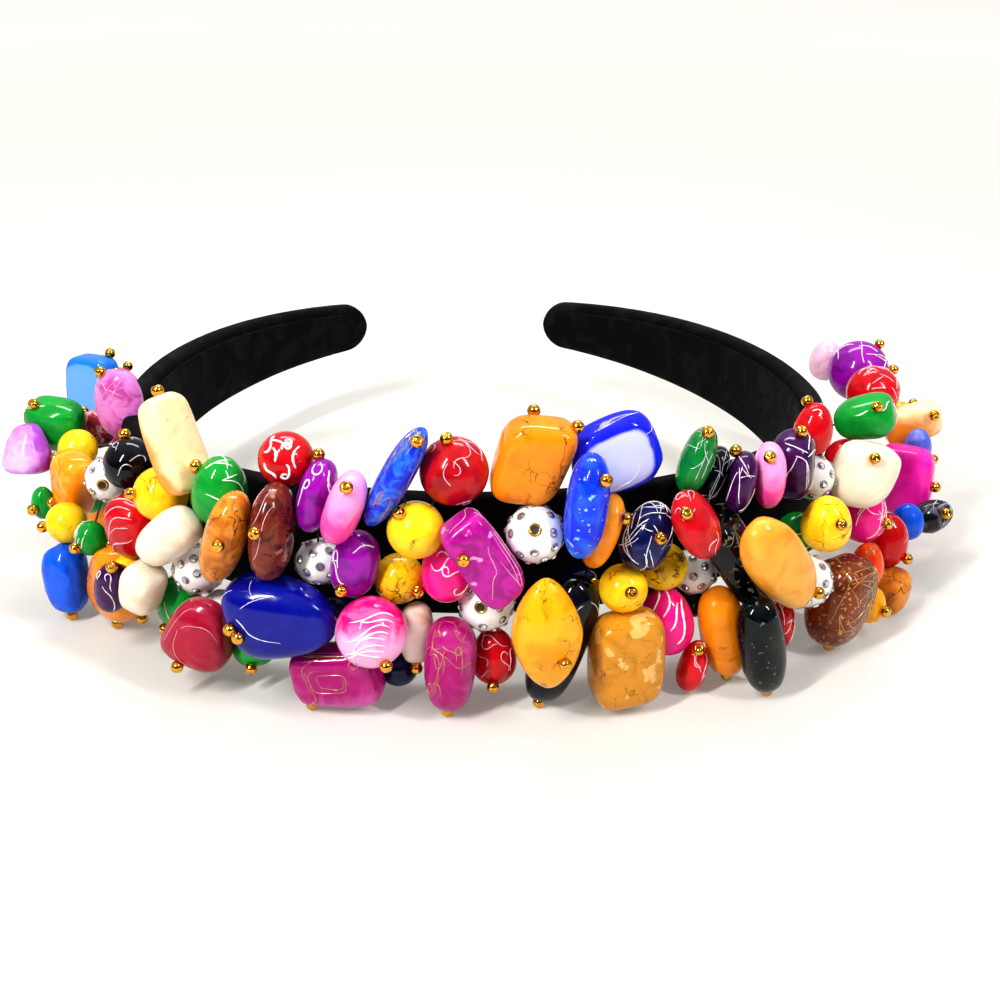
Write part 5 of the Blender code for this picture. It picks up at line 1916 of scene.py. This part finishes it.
@dataclass
class Band:
    """The padded velvet band and the lining set into its inner face.

    A section is a rounded oblong, and its roundness is the power of its sine or cosine: the lower,
    the squarer. Near a tip the sections stand at their own distances from it.
    """

    places: PackedPlaces
    cover_sides: int = 56
    cover_round: float = 0.55
    cover_square: float = 0.42
    square_from: float = 8.0
    inner_puff: float = 0.2
    lining_sides: int = 40
    lining_round: float = 0.7
    lining_square: float = 0.3
    lining_tip: float = 3.2
    tip_steps: tuple[float, ...] = (0.0, 0.06, 0.2, 0.45, 0.8, 1.3, 2.0, 2.9)
    tip_reach: float = 3.4
    crowding: float = 0.25
    edge: float = 2.1
    puff: float = 0.35
    lining_thick: float = 0.9
    lining_inset: float = 1.7
    lining_short: float = 3.5
    steps: int = 260

    def build(self) -> list[bpy.types.Object]:
        """Makes both pieces.

        Returns:
            The velvet cover and the lining, riding on the root body.
        """
        cover = self.loft("velvet_cover", self.cover_ring, COURSE.tip_arc - 0.02)
        cover.data.materials.append(VELVET.dress("black_velvet"))
        lining = self.loft("lining_strip", self.lining_ring, COURSE.tip_arc - self.lining_short)
        lining.data.materials.append(LINING.dress("lining_cloth"))
        stands = (cover, "velvet_band", "velvet"), (lining, "inner_lining", "lining")
        for piece, node, slot in stands:
            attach(piece, BODY)
            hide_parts(node)
        return [cover, lining]

    def tip_share(self, arc: float, end: float, radius: float) -> float:
        """How much of its width a strip keeps near its rounded end.

        Args:
            arc: where.
            end: the arc at which it ends.
            radius: the end's radius.

        Returns:
            The share, from 0 to 1.
        """
        pace = float(np.linalg.norm(COURSE.point(end) - COURSE.point(end - 1.0)))
        left = (end - abs(arc)) * pace
        return 1.0 if left >= radius else math.sqrt(max(0.0, 1.0 - (1.0 - left / radius) ** 2))

    def cover_ring(self, arc: float, end: float) -> np.ndarray:
        """One section of the padded cover, a rounded oblong that is domed outside.

        Args:
            arc: where.
            end: the arc at which the cover ends.

        Returns:
            Its points, each out and up.
        """
        share = max(self.tip_share(arc, end, COURSE.tip_width / 2), 0.02)
        half_width = float(COURSE.width(arc)) / 2 * share
        half_thick = COURSE.thick / 2 * (0.5 + 0.5 * share)
        ring = []
        square = self.cover_round if half_width < self.square_from else self.cover_square
        for turn in np.linspace(0, 2 * math.pi, self.cover_sides, endpoint=False):
            cos, sin = math.cos(turn), math.sin(turn)
            out = math.copysign(abs(cos) ** self.cover_round, cos) * half_thick
            rise = math.copysign(abs(sin) ** square, sin) * half_width
            dome = self.puff * (1 - (rise / half_width) ** 2) * share
            dome = dome if cos > 0 else self.inner_puff * dome
            ring.append((out + dome - 0.5 * self.puff * share, rise))
        return np.array(ring)

    def lining_ring(self, arc: float, end: float) -> np.ndarray:
        """One section of the lining, a thin strip with rolled edges.

        Args:
            arc: where.
            end: the arc at which the lining ends.

        Returns:
            Its points, each out and up.
        """
        share = max(self.tip_share(arc, end, self.lining_tip), 0.12)
        half_width = (float(COURSE.width(arc)) / 2 - self.lining_inset) * share
        outer = -COURSE.thick / 2 - COURSE.lining_gap
        ring = []
        for turn in np.linspace(0, 2 * math.pi, self.lining_sides, endpoint=False):
            cos, sin = math.cos(turn), math.sin(turn)
            out = math.copysign(abs(cos) ** self.lining_round, cos) * self.lining_thick / 2
            rise = math.copysign(abs(sin) ** self.lining_square, sin) * half_width
            ring.append((outer - self.lining_thick / 2 + out, rise))
        return np.array(ring)

    def loft(self, name: str, ring: Any, end: float) -> bpy.types.Object:
        """A closed surface through sections from one tip to the other.

        Args:
            name: the piece's name.
            ring: gives a section's (out, rise) points at an arc.
            end: the arc at which it ends.

        Returns:
            The object.
        """
        share = np.sin(np.linspace(-math.pi / 2, math.pi / 2, self.steps))
        even = np.linspace(-1, 1, self.steps)
        arcs = end * (self.crowding * share + (1.0 - self.crowding) * even)
        tip = end - np.array(self.tip_steps)
        arcs = np.unique(np.concatenate([arcs[np.abs(arcs) < end - self.tip_reach], tip, -tip]))
        points = []
        for arc in arcs:
            spot, normal = COURSE.point(arc), COURSE.normal(arc)
            for out, rise in ring(float(arc), end):
                points.append([*(spot + normal * out), rise])
        count = len(points) // len(arcs)
        faces = []
        for row in range(len(arcs) - 1):
            for side in range(count):
                after = (side + 1) % count
                a, b = row * count + side, row * count + after
                faces.append((a, b, b + count, a + count))
        faces += [tuple(range(count)), tuple(range(len(points) - 1, len(points) - 1 - count, -1))]
        obj = from_arrays(name, np.array(points) + self.places.shift, [], faces)
        mesh = bmesh.new()
        mesh.from_mesh(obj.data)
        bmesh.ops.remove_doubles(mesh, verts=mesh.verts, dist=1e-7)
        bmesh.ops.recalc_face_normals(mesh, faces=mesh.faces)
        mesh.to_mesh(obj.data)
        mesh.free()
        return obj


@dataclass(frozen=True)
class SoftBox:
    """A lamp behind cloth: where it hangs, what it is aimed at, its size, watts and tint."""

    name: str
    place: tuple[float, float, float]
    aim: tuple[float, float, float]
    size: tuple[float, float]
    power: float
    tint: Rgb


@dataclass
class Studio:
    """Pale floor, soft light, and the camera at the photograph's angle."""

    shift: np.ndarray
    boxes: tuple[SoftBox, ...] = (
        SoftBox("soft_top", (0, 500, 1500), (0, 200, 0), (2400, 1800), 3.9, (1.0, 0.99, 0.97)),
        SoftBox("strip_left", (-330, -360, 480), (0, -20, 20), (30, 320), 4.0, (1.0, 0.99, 0.98)),
        SoftBox("strip_right", (360, -330, 460), (0, -20, 20), (20, 250), 1.9, (0.98, 0.99, 1.0)),
        SoftBox("strip_back", (20, 300, 560), (0, 0, 20), (420, 90), 1.8, (1.0, 1.0, 1.0)),
    )
    floor_half: float = 6000.0
    room_light: float = 0.465
    focal: float = 52.2
    distance: float = 321.0
    pitch: float = 26.0
    yaw: float = 5.6
    roll: float = -1.2
    aside: float = 5.5
    lift: float = -13.5

    def build(self) -> None:
        """Makes the floor, the lights, the world and the camera."""
        self.floor()
        self.lights()
        self.world()
        self.camera()

    def floor(self) -> None:
        """A wide pale floor."""
        half = self.floor_half
        corners = np.array([[-half, -half, 0], [half, -half, 0], [half, half, 0], [-half, half, 0]])
        obj = from_arrays("studio_floor", corners, [], [(0, 1, 2, 3)])
        material, nodes, shader = new_material("pale_floor")
        place = nodes.add("ShaderNodeTexCoord").outputs["Object"]
        tone = nodes.noise(place, 3.0, 3.0)
        colour = nodes.mix(tone, (0.53, 0.516, 0.48), (0.56, 0.546, 0.51))
        nodes.feed(shader.inputs["Base Color"], colour)
        shader.inputs["Roughness"].default_value = 0.6
        shader.inputs["Specular IOR Level"].default_value = 0.15
        away = nodes.ramp(nodes.vector("LENGTH", place), 0.16, 0.9)
        glow = nodes.mix(away, (0.13, 0.127, 0.119), (0.50, 0.49, 0.468))
        nodes.feed(shader.inputs["Emission Color"], glow)
        shader.inputs["Emission Strength"].default_value = 1.0
        obj.data.materials.append(material)

    def lights(self) -> None:
        """Soft boxes above, at both sides in front, and behind."""
        for box in self.boxes:
            data = bpy.data.lights.new(box.name, "AREA")
            data.shape = "RECTANGLE"
            data.size, data.size_y = box.size[0] * MM, box.size[1] * MM
            data.energy, data.color = box.power, box.tint
            obj = bpy.data.objects.new(box.name, data)
            bpy.context.scene.collection.objects.link(obj)
            aim_at(obj, np.array(box.place, float), np.array(box.aim, float))

    def world(self) -> None:
        """A pale surround, a little darker low down, and paler to the camera itself."""
        world = bpy.data.worlds.new("pale_room")
        world.use_nodes = True
        bpy.context.scene.world = world
        nodes = Nodes(world.node_tree)
        way = nodes.add("ShaderNodeTexCoord").outputs["Generated"]
        lean = nodes.vector("DOT_PRODUCT", way, (0.0, 0.45, 0.9))
        colour = nodes.mix(nodes.ramp(lean, -0.2, 0.55), (0.16, 0.16, 0.17), (1.0, 1.0, 1.0))
        seen = nodes.add("ShaderNodeLightPath").outputs["Is Camera Ray"]
        colour = nodes.mix(seen, colour, (2.0, 1.98, 1.93))
        back = world.node_tree.nodes["Background"]
        nodes.feed(back.inputs["Color"], colour)
        back.inputs["Strength"].default_value = self.room_light
        scene = bpy.context.scene
        scene.view_settings.view_transform = "Standard"
        scene.view_settings.look = "Medium High Contrast"

    def camera(self) -> None:
        """The camera, from the view that was fitted to the photograph."""
        pitch, yaw, roll = (math.radians(angle) for angle in (self.pitch, self.yaw, self.roll))
        cos, sin = math.cos(yaw), math.sin(yaw)
        turn = np.array([[cos, sin, 0], [-sin, cos, 0], [0, 0, 1]])
        right, up = np.array([1.0, 0, 0]), np.array([0, math.sin(pitch), math.cos(pitch)])
        ahead = np.array([0, math.cos(pitch), -math.sin(pitch)])
        spot = turn @ (right * self.aside + up * self.lift - ahead * self.distance)
        tilted = right * math.cos(roll) - up * math.sin(roll)
        upright = right * math.sin(roll) + up * math.cos(roll)
        axes = turn @ np.stack([tilted, upright, -ahead], -1)
        data = bpy.data.cameras.new("photo_camera")
        data.lens, data.sensor_width, data.sensor_fit = self.focal, 36.0, "HORIZONTAL"
        data.clip_start, data.clip_end = 0.01, 60.0
        obj = bpy.data.objects.new("photo_camera", data)
        bpy.context.scene.collection.objects.link(obj)
        placed = Matrix(axes.tolist()).to_4x4()
        placed.translation = (spot + self.shift) * MM
        obj.matrix_world = placed
        bpy.context.scene.camera = obj


def aim_at(obj: bpy.types.Object, place: np.ndarray, aim: np.ndarray) -> None:
    """Puts an object at a place, with its -Z towards another.

    Args:
        obj: the object.
        place: where it goes, in mm.
        aim: what it points at, in mm.
    """
    back = (place - aim) / np.linalg.norm(place - aim)
    side = np.cross([0.0, 0.0, 1.0], back) if abs(back[2]) < 0.99 else np.array([1.0, 0.0, 0.0])
    side /= np.linalg.norm(side)
    placed = Matrix(np.stack([side, np.cross(back, side), back], -1).tolist()).to_4x4()
    placed.translation = place * MM
    obj.matrix_world = placed


def main() -> None:
    """Builds every piece in order."""
    logging.basicConfig(level=logging.INFO, format="%(message)s")
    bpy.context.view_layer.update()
    places = PackedPlaces()
    pieces = BeadCrowd(places).build() + Band(places).build()
    Studio(places.shift).build()
    total = 0
    for piece in pieces:
        count = sum(len(face.vertices) - 2 for face in piece.data.polygons)
        total += count
        LOG.info("%s: %d triangles", piece.name, count)
    LOG.info("%d pieces, %d triangles", len(pieces), total)


if __name__ == "__main__":
    main()
